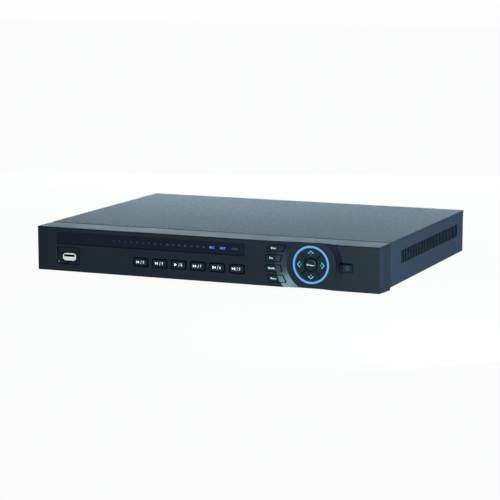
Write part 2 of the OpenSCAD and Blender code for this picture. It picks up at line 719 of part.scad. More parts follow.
module vga_shell() color("#c4c8cc") in_case() translate([vga_x, 0, vga_z]) difference() {
    union() {
        front_extrude(panel_y0 - 0.9, panel_y0 - 0.1) polygon(rounded(30.8, 12.5, 1.5));
        front_extrude(panel_y0 - 0.2, panel_y1 + 5.5) vga_outline(0);
    }
    front_extrude(panel_y0 - 2, panel_y1 + 6) vga_outline(-0.5);
    for (s = [-1, 1]) translate([s * vga_post_gap / 2, 0, 0]) y_rod(panel_y0 - 2, panel_y1, 1.7);
}

module vga_core() color("#2a4fa8") in_case() translate([vga_x, 0, vga_z]) difference() {
    union() {
        front_extrude(panel_y0 - 14, panel_y0 - 0.95) square([30, 12], center = true);
        front_extrude(panel_y0 - 1, panel_y1 + 5) vga_outline(-0.6);
    }
    for (row = [-1:1], i = [0:4])
        translate([(i - 2) * 2.29 + (row == 0 ? 1.14 : 0) - 0.4, 0, row * 1.98])
            y_rod(panel_y1 + 1, panel_y1 + 6, 0.55);
    for (s = [-1, 1]) translate([s * vga_post_gap / 2, 0, 0]) y_rod(panel_y0 - 10, panel_y0, 1.7);
}

module vga_posts() color("#d8dbdf") in_case()
    for (s = [-1, 1]) translate([vga_x + s * vga_post_gap / 2, 0, vga_z]) difference() {
        union() {
            y_rod(panel_y1 + 0.02, panel_y1 + 5, 2.8, sides = 6);
            y_rod(panel_y0 - 5, panel_y1 + 0.1, 1.5);
        }
        y_rod(panel_y1 + 0.6, panel_y1 + 6, 1.42);
    }

module hdmi_socket() color("#b9bec4") in_case() translate([hdmi_x, 0, main_z1 + 3.42]) {
    outline = [[-7.4, 3.1], [7.4, 3.1], [7.4, -0.8], [5.6, -3.1], [-5.6, -3.1], [-7.4, -0.8]];
    hole = [[-6.95, 2.3], [6.95, 2.3], [6.95, -0.4], [5.2, -2.3], [-5.2, -2.3], [-6.95, -0.4]];
    difference() {
        front_extrude(panel_y0 - 11, panel_y1 + 0.6) polygon(outline);
        front_extrude(panel_y0 - 8, panel_y1 + 1) polygon(hole);
    }
    front_extrude(panel_y0 - 9, panel_y1 - 0.4) translate([0, 0.3]) square([10.8, 1], center = true);
}

module rear_usb_shell() color("#c8ccd0") in_case() translate([stack_x, 0, main_z1 + 0.02]) difference() {
    front_extrude(panel_y0 - 15, panel_y1 + 0.8) translate([0, stack_h / 2])
        square([13.3, stack_h], center = true);
    for (z = [3.9, 11.7]) front_extrude(panel_y0 - 14.6, panel_y1 + 1) translate([0, z])
        square(usb_in, center = true);
}

module rear_usb_core() color("#f0f0ee") in_case() for (z = [3.9, 11.7])
    translate([stack_x, 0, main_z1 + 0.02 + z]) {
        front_extrude(panel_y0 - 14.55, panel_y0 - 12) square(usb_in - [0.1, 0.1], center = true);
        front_extrude(panel_y0 - 12.1, panel_y1 - 0.6) translate([0, 0.6])
            square([11.1, 1.84], center = true);
    }

module network_jack() color("#b4b9be") in_case() translate([lan_x, 0, main_z1 + 0.02]) {
    cavity_y0 = panel_y0 - 11;
    difference() {
        front_extrude(panel_y0 - 19, panel_y1 + 1) translate([0, lan_h / 2])
            square([lan_w, lan_h], center = true);
        front_extrude(cavity_y0, panel_y1 + 2) {
            translate([0, 6.9]) square([11.8, 7], center = true);
            translate([0, 2.7]) square([6.2, 2.4], center = true);
        }
    }
    front_extrude(cavity_y0 - 1, cavity_y0 + 7) translate([0, 9.6]) square([9, 0.9], center = true);
}

module alarm_terminal() color("#2f9a4f") in_case() translate([terminal_x, 0, main_z1 + 0.02]) difference() {
    width = terminal_ways * terminal_pitch + 0.8;
    union() {
        front_extrude(panel_y0 - 14, panel_y1 + 7) translate([0, 4.9]) square([width, 9.6], center = true);
        front_extrude(panel_y0 - 14, panel_y1 + 3) translate([0, 9.6]) square([width, 18.6], center = true);
    }
    for (i = [0:terminal_ways - 1], z = [4.6, 14]) {
        x = (i - (terminal_ways - 1) / 2) * terminal_pitch;
        front_extrude(panel_y0 - 6, panel_y1 + 8) translate([x, z]) square(2.7, center = true);
    }
    for (i = [0:terminal_ways - 1])
        translate([(i - (terminal_ways - 1) / 2) * terminal_pitch, panel_y1 + 5, 6])
            cylinder(h = 8, r = 1.2);
}

module power_inlet() color("#141517") in_case() translate([inlet_x, 0, inlet_z]) {
    difference() {
        front_extrude(panel_y0 - 12, panel_y1 + 0.8) square([9, 10.9], center = true);
        y_rod(panel_y0 - 8, panel_y1 + 2, 3.2);
    }
    y_rod(panel_y0 - 8.1, panel_y1 - 0.4, 1.2);
}

module switch_housing() color("#141517") in_case() translate([inlet_x, 0, rocker_z]) difference() {
    union() {
        front_extrude(panel_y1 + 0.03, panel_y1 + 1.5) polygon(rounded(10.6, 15, 1));
        front_extrude(panel_y0 - 12, panel_y1 + 0.1) square([8.6, 13], center = true);
    }
    front_extrude(panel_y0 - 8, panel_y1 + 2) square([7.2, 11.6], center = true);
    translate([0, rocker_pivot_y, 0]) rotate([0, 90, 0]) cylinder(h = 8.1, r = 1.05, center = true);
}

module power_rocker() color("#1c1d20") in_case() translate([inlet_x, rocker_pivot_y, rocker_z])
    rotate([rocker_tilt, 0, 0]) {
    side_extrude(-3.4, 3.4) polygon([[5.6, -4.8], [4.3, 0], [5.6, 4.8], [-0.6, 3.9], [-2.4, 0],
        [-0.6, -3.9]]);
    rotate([0, 90, 0]) cylinder(h = 7.9, r = 1, center = true);
}

// ---- Cooling fan ----

module fan_frame() color("#1a1b1d") in_case() translate([fan_x, 0, mid_z]) {
    difference() {
        front_extrude(fan_y0, fan_y1) polygon(rounded(fan_side, fan_side, 3));
        y_rod(fan_y0 - 1, fan_y1 + 1, fan_bore_r);
        for (sx = [-1, 1], sz = [-1, 1]) translate([sx * fan_hole_gap / 2, 0, sz * fan_hole_gap / 2])
            y_rod(fan_y0 - 1, fan_y1 + 1, screw_r + 0.2);
    }
    difference() {
        union() {
            y_rod(fan_y1 - 2.5, fan_y1 - 0.2, rotor_hub_r);
            y_rod(fan_y1 - 12, fan_y1 - 0.2, 3);
            for (a = [90, 210, 330]) rotate([0, a, 0])
                translate([6, fan_y1 - 2.4, -1.2]) cube([fan_bore_r - 5.5, 2.2, 2.4]);
        }
        y_rod(fan_y1 - 13, fan_y1 - 1, 1.1);
    }
}

module fan_rotor() color("#202226") in_case() translate([fan_x, 0, mid_z]) {
    hub_y0 = fan_y0 + 1;
    hub_y1 = fan_y1 - 3;
    difference() {
        y_rod(hub_y0, hub_y1, rotor_hub_r);
        y_rod(hub_y0 + 1.5, hub_y1 + 1, rotor_hub_r - 1.5);
    }
    y_rod(hub_y0 + 1.4, fan_y1 - 1.5, 1);
    intersection() {
        y_rod(hub_y0 + 0.5, hub_y1 - 0.5, rotor_r);
        for (i = [0:fan_blades - 1]) rotate([0, i * 360 / fan_blades, 0])
            translate([rotor_hub_r - 0.4, (hub_y0 + hub_y1) / 2, 0]) rotate([40, 0, 0])
                translate([0, -12, -0.5]) cube([rotor_r, 24, 1]);
    }
}

// ---- Electronics inside ----

module main_board() color("#1d5b34") in_case() difference() {
    union() {
        block([main_x0, main_y0, main_z0 + 0.02], [main_x1, jack_y, main_z1]);
        block([wing_x0, wing_y0, main_z0 + 0.02], [wing_x1, wing_y1, main_z1]);
        block([tongue_x0, wing_y1 - eps, main_z0 + 0.02], [wing_x1, jack_y, main_z1]);
    }
    for (p = board_holes) translate([p[0], p[1], 0]) cylinder(h = 20, r = screw_r + 0.2);
}

module chip(x, y, w, d, h) translate([x - w / 2, y - d / 2, main_z1 + 0.02]) cube([w, d, h]);

module board_components() color("#16181b") in_case() {
    chip(120, 228, 27, 27, 2);
    for (x = [88, 152]) for (y = [216, 236]) chip(x, y, 12, 9, 1.2);
    for (i = [0:3]) chip(80 - i * 27, 250, 14, 14, 1.4);
    chip(-80, 215, 17, 17, 1.5);
    chip(-122, 215, 12, 12, 1.2);
    for (i = [0:2]) chip(150, 100 + i * 24, 13, 13, 7);
    for (i = [0:4]) translate([84 + i * 14, 78, main_z1 + 0.02]) cylinder(h = 12, r = 5);
    for (i = [0:2]) translate([-20 + i * 13, 222, main_z1 + 0.02]) cylinder(h = 9, r = 3.2);
    for (x = drive_x) {
        chip(x - 20, 201, 16, 6, 8);
        chip(x + 14, 201, 24, 6, 8);
    }
    chip(-55, 196, 14, 6, 6.5);
    for (i = [0:5]) chip(100, 96 + i * 17, 6, 8, 1.6);
}

module heatsink() color("#a8adb2") in_case() translate([100, 208, main_z1 + 2.04]) {
    cube([40, 40, 3]);
    for (i = [0:9]) translate([i * 4.25, 0, 3 - eps]) cube([1.75, 40, 12]);
}

module backup_battery() color("#c9ccd0") in_case() translate([-150, 225, main_z1 + 0.02]) {
    difference() {
        cylinder(h = 3.2, r = 11.5);
        translate([0, 0, 1]) cylinder(h = 3, r = 10.2);
    }
    translate([0, 0, 1.02]) cylinder(h = 3.2, r = 10);
}

// A 3.5-inch drive: a cast base with a pocket for the platters, and the lid that closes it.
module hard_drive(x) color("#9aa0a5") in_case() translate([x, drive_y0, drive_z0]) {
    w = drive_w / 2;
    base_h = drive_h - 3;
    difference() {
        block([-w, 0, 0.1], [w, drive_l, base_h]);
        block([-w + 5, 10, 6], [w - 5, drive_l - 40, base_h + 1]);
        block([-32, drive_l - 8, -1], [32, drive_l + 1, 8.4]);
        for (s = [-1, 1], y = drive_hole_y) translate([s * drive_hole_x, y - drive_y0, -1])
            cylinder(h = 7, r = 1.9);
        for (s = [-1, 1], y = [28.5, 70, 130])
            translate([s * w, y, 6.35]) rotate([0, 90, 0]) cylinder(h = 8, r = 1.6, center = true);
    }
    block([-w + 2, 3, base_h + 0.02], [w - 2, drive_l - 3, drive_h - 0.8]);
    translate([0, 55, drive_h - 0.8 - eps]) cylinder(h = 0.5, r = 44);
    block([-w + 12, drive_l - 40, drive_h - 0.8 - eps], [w - 12, drive_l - 8, drive_h]);
}

module inner_screws() color("#b9bdc2") in_case() {
    for (p = board_holes) translate([p[0], p[1], 0]) down_screw(main_z1 + 0.02, 6);
    for (x = drive_x, s = [-1, 1], y = drive_hole_y)
        translate([x + s * drive_hole_x, y, 0]) mirror([0, 0, 1]) down_screw(0.02, 8.5, 1.7);
}

module drive_cables() color("#b3342c") in_case() {
    drive_y1 = drive_y0 + drive_l;
    route = [
        [drive_y1 + 3, 12], [drive_y1 + 3, 21], [drive_y1 + 6, 27], [drive_y1 + 13, 31],
        [drive_y1 + 21, 31], [drive_y1 + 28, 27], [drive_y1 + 31, 21], [drive_y1 + 31, 16.8]
    ];
    for (x = drive_x, part = [[-20, 14], [14, 22]]) translate([x + part[0], 0, 0]) {
        block([-part[1] / 2, drive_y1 - 6, 5.2], [part[1] / 2, drive_y1 + 6, 12.1]);
        side_extrude(-part[1] / 2 + 2, part[1] / 2 - 2) polygon(band(route, 1.4));
        block([-part[1] / 2, drive_y1 + 28.2, 15.7], [part[1] / 2, drive_y1 + 33.8, 20]);
    }
}

module front_ribbon() color("#c8ccd2") in_case() {
    route = [
        [23, 19], [25.5, 14], [27, 6], [31, 2.3], [80, 1.9], [150, 1.9], [178, 2.3], [183, 5],
            [186, 11], [189.5, 14.5], [192, 16]
    ];
    side_extrude(-60, -50) polygon(band(route, 0.8));
    block([-60.9, board_y0 + board_t + 0.02, 13], [-49.1, 23.2, 24]);
    block([-61.5, 191.5, 14.2], [-48.5, 198, 18]);
}

front_bezel();
indicator_window();
light_ring();
nav_carrier();
front_usb_shell();
front_usb_core();
for (i = [0:media_keys - 1]) media_key(i);
for (i = [0:3]) function_key(i);
arrow_key(0);  // arrow_key_right
arrow_key(90);  // arrow_key_up
arrow_key(180);  // arrow_key_left
arrow_key(270);  // arrow_key_down
enter_key();
power_key();
key_board();
switch_bodies();
front_leds();
front_screws();
chassis_base();
rear_panel();
top_cover();
case_screws();
rubber_feet();
ground_screw();
video_block();
bnc_shells();
bnc_cores();
audio_block();
rca_shells();
rca_cores();
vga_shell();
vga_core();
vga_posts();
hdmi_socket();
rear_usb_shell();
rear_usb_core();
network_jack();
alarm_terminal();
power_inlet();
switch_housing();
power_rocker();
fan_frame();
fan_rotor();
main_board();
board_components();
heatsink();
backup_battery();
hard_drive(drive_x[0]);  // hard_drive_left
hard_drive(drive_x[1]);  // hard_drive_right
inner_screws();
drive_cables();
front_ribbon();
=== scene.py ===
"""Looks of a one-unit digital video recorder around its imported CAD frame.

Metres. +X is to the right seen from the front, +Y runs to the back, +Z is up.
"""
import json
import math

import bmesh
import bpy
from mathutils import Matrix, Vector


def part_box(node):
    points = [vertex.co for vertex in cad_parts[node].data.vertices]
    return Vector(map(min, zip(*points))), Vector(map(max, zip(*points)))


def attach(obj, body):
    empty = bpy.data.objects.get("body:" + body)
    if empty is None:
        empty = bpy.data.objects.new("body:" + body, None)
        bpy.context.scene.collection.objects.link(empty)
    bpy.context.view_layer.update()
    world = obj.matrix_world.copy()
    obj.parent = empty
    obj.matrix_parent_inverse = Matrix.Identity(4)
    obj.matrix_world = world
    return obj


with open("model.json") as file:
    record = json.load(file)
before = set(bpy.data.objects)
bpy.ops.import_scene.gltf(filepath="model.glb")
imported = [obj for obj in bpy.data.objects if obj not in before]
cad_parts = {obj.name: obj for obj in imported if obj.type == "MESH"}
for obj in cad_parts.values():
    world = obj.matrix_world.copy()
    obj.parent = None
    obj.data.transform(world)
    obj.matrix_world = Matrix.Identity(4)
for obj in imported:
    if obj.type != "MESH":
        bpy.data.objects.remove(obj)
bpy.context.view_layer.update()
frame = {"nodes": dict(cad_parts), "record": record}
nodes = frame["nodes"]
scene = bpy.context.scene

MM = 0.001
PRINT = 0.03 * MM  # thickness of printed legends, and how far dark bands stand off their faces


# ---- Places and names taken from the frame ----


def centre(node):
    low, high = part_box(node)
    return (low + high) / 2


FRONT_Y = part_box("front_bezel")[0].y
PANEL_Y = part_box("rear_panel")[1].y
CASE_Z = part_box("top_cover")[0].z
WINDOW_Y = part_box("indicator_window")[0].y
DISH = centre("light_ring")
MEDIA_KEYS = [f"media_key_{i}" for i in range(1, 7)]
FUNCTION_KEYS = [f"function_key_{i}" for i in range(1, 5)]
ARROW_KEYS = ["arrow_key_right", "arrow_key_up", "arrow_key_left", "arrow_key_down"]
KEYS = MEDIA_KEYS + FUNCTION_KEYS + ARROW_KEYS + ["enter_key", "power_key"]


# ---- Camera, floor and light ----

CAMERA_PLACE = Vector((0.76282, -1.84408, 0.33276))
CAMERA_AZIMUTH = math.radians(22.751)
CAMERA_ELEVATION = math.radians(9.118)
CAMERA_ROLL = math.radians(-0.009)
CAMERA_LENS = 135.03
SENSOR_WIDTH = 36
CLIP_START = 0.05
CLIP_END = 20

FLOOR_HALF = 6.0
DOME_RADIUS = 8.0
PAPER_WHITE = 0.982  # glow of the dome
FLOOR_GLOW = 0.955
FLOOR_SHADE = 0.03  # base colour of the floor, which takes a trace of shadow


def add_camera():
    data = bpy.data.cameras.new("camera")
    data.sensor_width = SENSOR_WIDTH
    data.lens = CAMERA_LENS
    data.clip_start = CLIP_START
    data.clip_end = CLIP_END
    camera = bpy.data.objects.new("camera", data)
    scene.collection.objects.link(camera)
    back = Vector((
        math.sin(CAMERA_AZIMUTH) * math.cos(CAMERA_ELEVATION),
        -math.cos(CAMERA_AZIMUTH) * math.cos(CAMERA_ELEVATION),
        math.sin(CAMERA_ELEVATION),
    ))
    right = Vector((0, 0, 1)).cross(back).normalized()
    up = back.cross(right)
    turn = Matrix((right, up, back)).transposed().to_4x4()
    roll = Matrix.Rotation(CAMERA_ROLL, 4, "Z")
    camera.matrix_world = Matrix.Translation(CAMERA_PLACE) @ turn @ roll
    scene.camera = camera


def add_floor():
    """White paper under the object and a white dome around it, seen by the camera but not in reflections."""
    mesh = bpy.data.meshes.new("floor")
    half = FLOOR_HALF
    corners = [(-half, -half, 0), (half, -half, 0), (half, half, 0), (-half, half, 0)]
    mesh.from_pydata(corners, [], [(0, 1, 2, 3)])
    floor = bpy.data.objects.new("floor", mesh)
    scene.collection.objects.link(floor)
    material = bpy.data.materials.new("floor_paper")
    material.use_nodes = True
    shader = material.node_tree.nodes["Principled BSDF"]
    shader.inputs["Base Color"].default_value = (FLOOR_SHADE, FLOOR_SHADE, FLOOR_SHADE, 1)
    shader.inputs["Roughness"].default_value = 1.0
    shader.inputs["Specular IOR Level"].default_value = 0.0
    shader.inputs["Emission Color"].default_value = (1, 1, 1, 1)
    shader.inputs["Emission Strength"].default_value = FLOOR_GLOW
    mesh.materials.append(material)
    floor.visible_glossy = False
    floor.visible_diffuse = False
    bpy.ops.mesh.primitive_uv_sphere_add(segments=48, ring_count=24, radius=DOME_RADIUS)
    dome = bpy.context.object
    dome.name = "dome"
    white = bpy.data.materials.new("dome_white")
    white.use_nodes = True
    shader = white.node_tree.nodes["Principled BSDF"]
    shader.inputs["Base Color"].default_value = (0, 0, 0, 1)
    shader.inputs["Specular IOR Level"].default_value = 0.0
    shader.inputs["Emission Color"].default_value = (1, 1, 1, 1)
    shader.inputs["Emission Strength"].default_value = PAPER_WHITE
    dome.data.materials.append(white)
    dome.visible_diffuse = False
    dome.visible_glossy = False
    dome.visible_transmission = False
    dome.visible_shadow = False


def add_area_light(name, place, aim, width, height, power, colour):
    data = bpy.data.lights.new(name, "AREA")
    data.shape = "RECTANGLE"
    data.size = width
    data.size_y = height
    data.energy = power
    data.color = colour
    light = bpy.data.objects.new(name, data)
    scene.collection.objects.link(light)
    light.location = place
    light.rotation_mode = "QUATERNION"
    light.rotation_quaternion = (Vector(aim) - Vector(place)).to_track_quat("-Z", "Y")
    light.visible_camera = False


ROOM_SHADE = (0.014, 0.014, 0.016)
# Soft glows around the object: direction, cosine of the angle from it where the glow starts, cosine where it
# is full, colour. A full cosine above 1 is never reached, so such a glow stays weaker than its colour.
ROOM_GLOWS = [
    ((0.75, 0.65, -0.10), 0.30, 0.95, (0.165, 0.32, 0.66)),  # right-hand wall
    ((-0.28, -0.94, -0.15), 0.86, 0.995, (0.245, 0.30, 0.37)),  # in front
    ((0.57, -0.81, -0.12), 0.86, 0.97, (0.44, 0.69, 1.03)),  # right of the camera
    ((0.32, -0.845, 0.43), 0.917, 1.04, (6.4, 10.8, 11.6)),  # softbox in front, high up
    ((-0.84, -0.43, 0.35), 0.80, 0.98, (0.26, 0.34, 0.36)),  # left-hand wall
    ((-0.66, -0.28, -0.70), 0.82, 0.97, (0.17, 0.15, 0.46)),  # coloured card low on the left
    ((0.15, -0.62, -0.77), 0.90, 0.98, (0.24, 0.17, 0.48)),  # and its faint end in front
    ((-0.20, 0.45, 0.87), 0.85, 0.97, (0.30, 0.31, 0.32)),  # ceiling
    ((-0.85, 0.48, -0.15), 0.76, 0.97, (0.20, 0.24, 0.27)),  # left of the back
]


def add_room():
    """The studio around the object: a dark room with the soft glows, which add up."""
    world = bpy.data.worlds.new("studio")
    world.use_nodes = True
    tree = world.node_tree
    place = tree.nodes.new("ShaderNodeTexCoord").outputs["Generated"]
    total = tree.nodes.new("ShaderNodeCombineXYZ")
    for socket, value in zip(total.inputs, ROOM_SHADE):
        socket.default_value = value
    light = total.outputs[0]
    for axis, start, full, colour in ROOM_GLOWS:
        facing_it = tree.nodes.new("ShaderNodeVectorMath")
        facing_it.operation = "DOT_PRODUCT"
        facing_it.inputs[1].default_value = Vector(axis).normalized()
        tree.links.new(place, facing_it.inputs[0])
        amount = tree.nodes.new("ShaderNodeMapRange")
        amount.interpolation_type = "SMOOTHSTEP"
        amount.inputs["From Min"].default_value = start
        amount.inputs["From Max"].default_value = full
        tree.links.new(facing_it.outputs["Value"], amount.inputs["Value"])
        glow = tree.nodes.new("ShaderNodeVectorMath")
        glow.operation = "SCALE"
        glow.inputs[0].default_value = colour
        tree.links.new(amount.outputs["Result"], glow.inputs["Scale"])
        both = tree.nodes.new("ShaderNodeVectorMath")
        both.operation = "ADD"
        tree.links.new(light, both.inputs[0])
        tree.links.new(glow.outputs[0], both.inputs[1])
        light = both.outputs[0]
    tree.links.new(light, tree.nodes["Background"].inputs["Color"])
    scene.world = world


# Lamps: name, place, point it is aimed at, width, height, power in watts, colour.
LAMPS = [
    ("back_strip", (-0.25, 0.75, 0.12), (0, 0, 0.045), 0.8, 0.1, 4.17, (0.642, 0.860, 1.0)),
    ("back_box", (0.75, 0.75, 0.40), (0.15, 0.2, 0.04), 0.4, 0.3, 3.3, (0.94, 0.97, 0.70)),
    ("right_box", (0.36, -0.36, 0.10), (0.15, -0.15, 0.02), 0.16, 0.16, 1.06, (0.67, 0.98, 1.0)),
]


def add_lights():
    for lamp in LAMPS:
        add_area_light(*lamp)
    scene.view_settings.view_transform = "Standard"
    scene.view_settings.look = "None"


# ---- Materials ----


class Surface:
    """A Principled material with helpers for procedural detail in the object's own coordinates.

    Scales are in waves or cells per metre, and heights of bumps in metres.
    """

    def __init__(self, name, colour, roughness, metallic=0.0, specular=0.5):
        self.material = bpy.data.materials.new(name)
        self.material.use_nodes = True
        self.tree = self.material.node_tree
        self.shader = self.tree.nodes["Principled BSDF"]
        self.place = self.tree.nodes.new("ShaderNodeTexCoord").outputs["Object"]
        self.colour = colour
        self.set("Base Color", (*colour, 1))
        self.set("Roughness", roughness)
        self.set("Metallic", metallic)
        self.set("Specular IOR Level", specular)

    def set(self, socket, value):
        self.shader.inputs[socket].default_value = value

    def link(self, out, socket):
        self.tree.links.new(out, socket)

    def noise(self, scale, detail=3.0, roughness=0.55, stretch=(1, 1, 1)):
        mapping = self.tree.nodes.new("ShaderNodeMapping")
        mapping.inputs["Scale"].default_value = stretch
        self.link(self.place, mapping.inputs["Vector"])
        node = self.tree.nodes.new("ShaderNodeTexNoise")
        node.inputs["Scale"].default_value = scale
        node.inputs["Detail"].default_value = detail
        node.inputs["Roughness"].default_value = roughness
        self.link(mapping.outputs[0], node.inputs["Vector"])
        return node.outputs["Fac"]

    def cells(self, scale):
        node = self.tree.nodes.new("ShaderNodeTexVoronoi")
        node.feature = "F1"
        node.inputs["Scale"].default_value = scale
        self.link(self.place, node.inputs["Vector"])
        return node.outputs["Distance"]

    def scaled(self, value, low, high, start=0.3, end=0.7):
        """Turns a value's range from start to end into the range from low to high."""
        node = self.tree.nodes.new("ShaderNodeMapRange")
        node.inputs["From Min"].default_value = start
        node.inputs["From Max"].default_value = end
        node.inputs["To Min"].default_value = low
        node.inputs["To Max"].default_value = high
        self.link(value, node.inputs["Value"])
        return node.outputs["Result"]

    def step(self, operation, first, second):
        node = self.tree.nodes.new("ShaderNodeMath")
        node.operation = operation
        self.link(first, node.inputs[0])
        node.inputs[1].default_value = second
        return node.outputs[0]

    def radius_about(self, middle):
        """Distance from the front-to-back line through a point."""
        offset = self.tree.nodes.new("ShaderNodeVectorMath")
        offset.operation = "SUBTRACT"
        self.link(self.place, offset.inputs[0])
        offset.inputs[1].default_value = middle
        flat = self.tree.nodes.new("ShaderNodeVectorMath")
        flat.operation = "MULTIPLY"
        self.link(offset.outputs[0], flat.inputs[0])
        flat.inputs[1].default_value = (1, 0, 1)
        length = self.tree.nodes.new("ShaderNodeVectorMath")
        length.operation = "LENGTH"
        self.link(flat.outputs[0], length.inputs[0])
        return length.outputs["Value"]

    def blend(self, amount, low, high, socket):
        ramp = self.tree.nodes.new("ShaderNodeMix")
        ramp.data_type = "RGBA"
        ramp.inputs["A"].default_value = (*low, 1)
        ramp.inputs["B"].default_value = (*high, 1)
        self.link(amount, ramp.inputs["Factor"])
        self.link(ramp.outputs["Result"], self.shader.inputs[socket])

    def mottled(self, value, dark, light):
        """Base colour that varies between two shades with a value."""
        self.blend(self.scaled(value, 0, 1), dark, light, "Base Color")

    def rough(self, value, low, high):
        self.link(self.scaled(value, low, high), self.shader.inputs["Roughness"])

    def bump(self, *layers):
        """Each layer is (value, height); they add up."""
        normal = None
        for value, height in layers:
            node = self.tree.nodes.new("ShaderNodeBump")
            node.inputs["Distance"].default_value = height
            self.link(value, node.inputs["Height"])
            if normal is not None:
                self.link(normal, node.inputs["Normal"])
            normal = node.outputs["Normal"]
        self.link(normal, self.shader.inputs["Normal"])


RING_MIDDLE = 18.0 * MM  # radius of the light guide's brightest line
RING_HALF = 1.2 * MM  # half the width of the band that shines
RING_BRIGHT = 0.55  # share of that half which glows fully
RING_FADED = 0.95  # share of it where the edge colour is reached
RING_GLOW = 0.78
RING_CORE = (0.175, 0.39, 0.70)
RING_EDGE = (0.015, 0.06, 0.20)


def shade(colour, factor):
    return tuple(min(1.0, c * factor) for c in colour)


def wrinkle_paint():
    paint = Surface("wrinkle_paint", (0.022, 0.034, 0.052), 0.6, specular=0.5)
    grain = paint.noise(620, 5.0, 0.7)
    broad = paint.noise(9, 2.0)
    paint.mottled(grain, shade(paint.colour, 0.5), shade(paint.colour, 1.5))
    paint.rough(paint.noise(480, 4.0, 0.7), 0.46, 0.72)
    paint.bump((grain, 0.27 * MM), (paint.cells(1600), 0.06 * MM), (broad, 0.035 * MM))
    return paint.material


def bezel_satin():
    """The moulded front's fine grain, with a trace of sparkle."""
    plastic = Surface("bezel_satin", (0.0145, 0.0157, 0.0202), 0.5, specular=0.38)
    spark = plastic.noise(2600, 2.0)
    plastic.mottled(spark, shade(plastic.colour, 0.9), shade(plastic.colour, 1.1))
    plastic.rough(plastic.noise(30, 3.0), 0.47, 0.54)
    plastic.bump((spark, 0.006 * MM))
    return plastic.material


def bezel_brow_shade():
    """Painted shade on the bezel's top front edge: a darker finish that reflects less than its faces."""
    plastic = Surface("bezel_brow_shade", (0.010, 0.013, 0.017), 0.6, specular=0.12)
    plastic.rough(plastic.noise(30, 3.0), 0.56, 0.64)
    plastic.bump((plastic.noise(2600, 2.0), 0.006 * MM))
    return plastic.material


def bezel_gloss():
    plastic = Surface("bezel_gloss", (0.012, 0.017, 0.024), 0.2, specular=0.55)
    plastic.rough(plastic.noise(40, 3.0), 0.18, 0.23)
    plastic.bump((plastic.noise(180, 1.0), 0.001 * MM))
    return plastic.material


def key_plastic():
    plastic = Surface("key_plastic", (0.012, 0.017, 0.022), 0.4, specular=0.35)
    grain = plastic.noise(2200, 2.0)
    plastic.mottled(grain, shade(plastic.colour, 0.9), shade(plastic.colour, 1.1))
    plastic.rough(plastic.noise(60, 3.0), 0.37, 0.44)
    plastic.bump((grain, 0.005 * MM))
    return plastic.material


def smoked_window():
    window = Surface("smoked_window", (0.0060, 0.0080, 0.0170), 0.16, specular=0.35)
    window.rough(window.noise(25, 3.0), 0.13, 0.19)
    window.mottled(window.noise(14, 2.0), shade(window.colour, 0.8), shade(window.colour, 1.2))
    window.bump((window.noise(60, 1.0), 0.004 * MM))
    return window.material


def lit_ring():
    """Light guide: brightest along one circle, deeper blue on both sides of it."""
    ring = Surface("lit_ring", RING_EDGE, 0.35, specular=0.4)
    middle = nodes["light_ring"].matrix_world.inverted() @ DISH
    off_middle = ring.step("SUBTRACT", ring.radius_about(middle), RING_MIDDLE)
    distance = ring.step("ABSOLUTE", off_middle, 0.0)
    bright = ring.scaled(distance, 1, 0, RING_HALF * RING_BRIGHT, RING_HALF * RING_FADED)
    ring.rough(ring.noise(500, 2.0), 0.3, 0.4)
    ring.blend(bright, shade(RING_EDGE, 0.3), shade(RING_CORE, 0.3), "Base Color")
    ring.blend(bright, RING_EDGE, RING_CORE, "Emission Color")
    ring.set("Emission Strength", RING_GLOW)
    return ring.material


def black_plastic(name="black_plastic", colour=(0.012, 0.013, 0.015), roughness=0.48):
    plastic = Surface(name, colour, roughness, specular=0.4)
    grain = plastic.noise(1800, 3.0)
    plastic.mottled(grain, shade(colour, 0.85), shade(colour, 1.2))
    plastic.rough(plastic.noise(90, 3.0), roughness - 0.06, roughness + 0.06)
    plastic.bump((grain, 0.02 * MM))
    return plastic.material


def painted_shade_black():
    """Painted shade: a near-black finish for cut edges, gaps and outlines, where shade falls."""
    black = Surface("painted_shade_black", (0.0022, 0.0028, 0.0036), 0.8, specular=0.08)
    grain = black.noise(1800, 2.0)
    black.mottled(grain, shade(black.colour, 0.7), shade(black.colour, 1.3))
    black.rough(grain, 0.75, 0.85)
    return black.material


def moulded(name, colour, roughness=0.42):
    plastic = Surface(name, colour, roughness, specular=0.45)
    grain = plastic.noise(1500, 3.0)
    plastic.mottled(plastic.noise(120, 3.0), shade(colour, 0.93), shade(colour, 1.05))
    plastic.rough(grain, roughness - 0.05, roughness + 0.05)
    plastic.bump((grain, 0.008 * MM))
    return plastic.material


def plated(name, colour, roughness):
    metal = Surface(name, colour, roughness, metallic=1.0)
    smear = metal.noise(260, 4.0)
    metal.mottled(smear, shade(colour, 0.9), shade(colour, 1.04))
    metal.rough(metal.noise(700, 4.0), roughness - 0.06, roughness + 0.10)
    metal.bump((metal.noise(1200, 2.0), 0.004 * MM))
    return metal.material


def sheet_steel():
    steel = Surface("sheet_steel", (0.33, 0.34, 0.35), 0.42, metallic=0.85)
    rolled = steel.noise(220, 4.0, stretch=(0.06, 1, 1))
    steel.mottled(rolled, (0.30, 0.31, 0.32), (0.37, 0.38, 0.39))
    steel.rough(steel.cells(140), 0.36, 0.5)
    steel.bump((rolled, 0.006 * MM))
    return steel.material


def rear_paint():
    paint = Surface("rear_paint", (0.055, 0.070, 0.085), 0.5, specular=0.4)
    grain = paint.noise(1100, 4.0)
    paint.mottled(grain, shade(paint.colour, 0.9), shade(paint.colour, 1.1))
    paint.rough(paint.noise(20, 2.0), 0.46, 0.56)
    paint.bump((grain, 0.05 * MM))
    return paint.material


def rubber():
    material = Surface("foot_rubber", (0.014, 0.014, 0.015), 0.8, specular=0.25)
    grain = material.noise(1300, 4.0)
    material.mottled(grain, (0.011, 0.011, 0.012), (0.020, 0.020, 0.021))
    material.rough(material.noise(200, 2.0), 0.74, 0.88)
    material.bump((grain, 0.05 * MM))
    return material.material


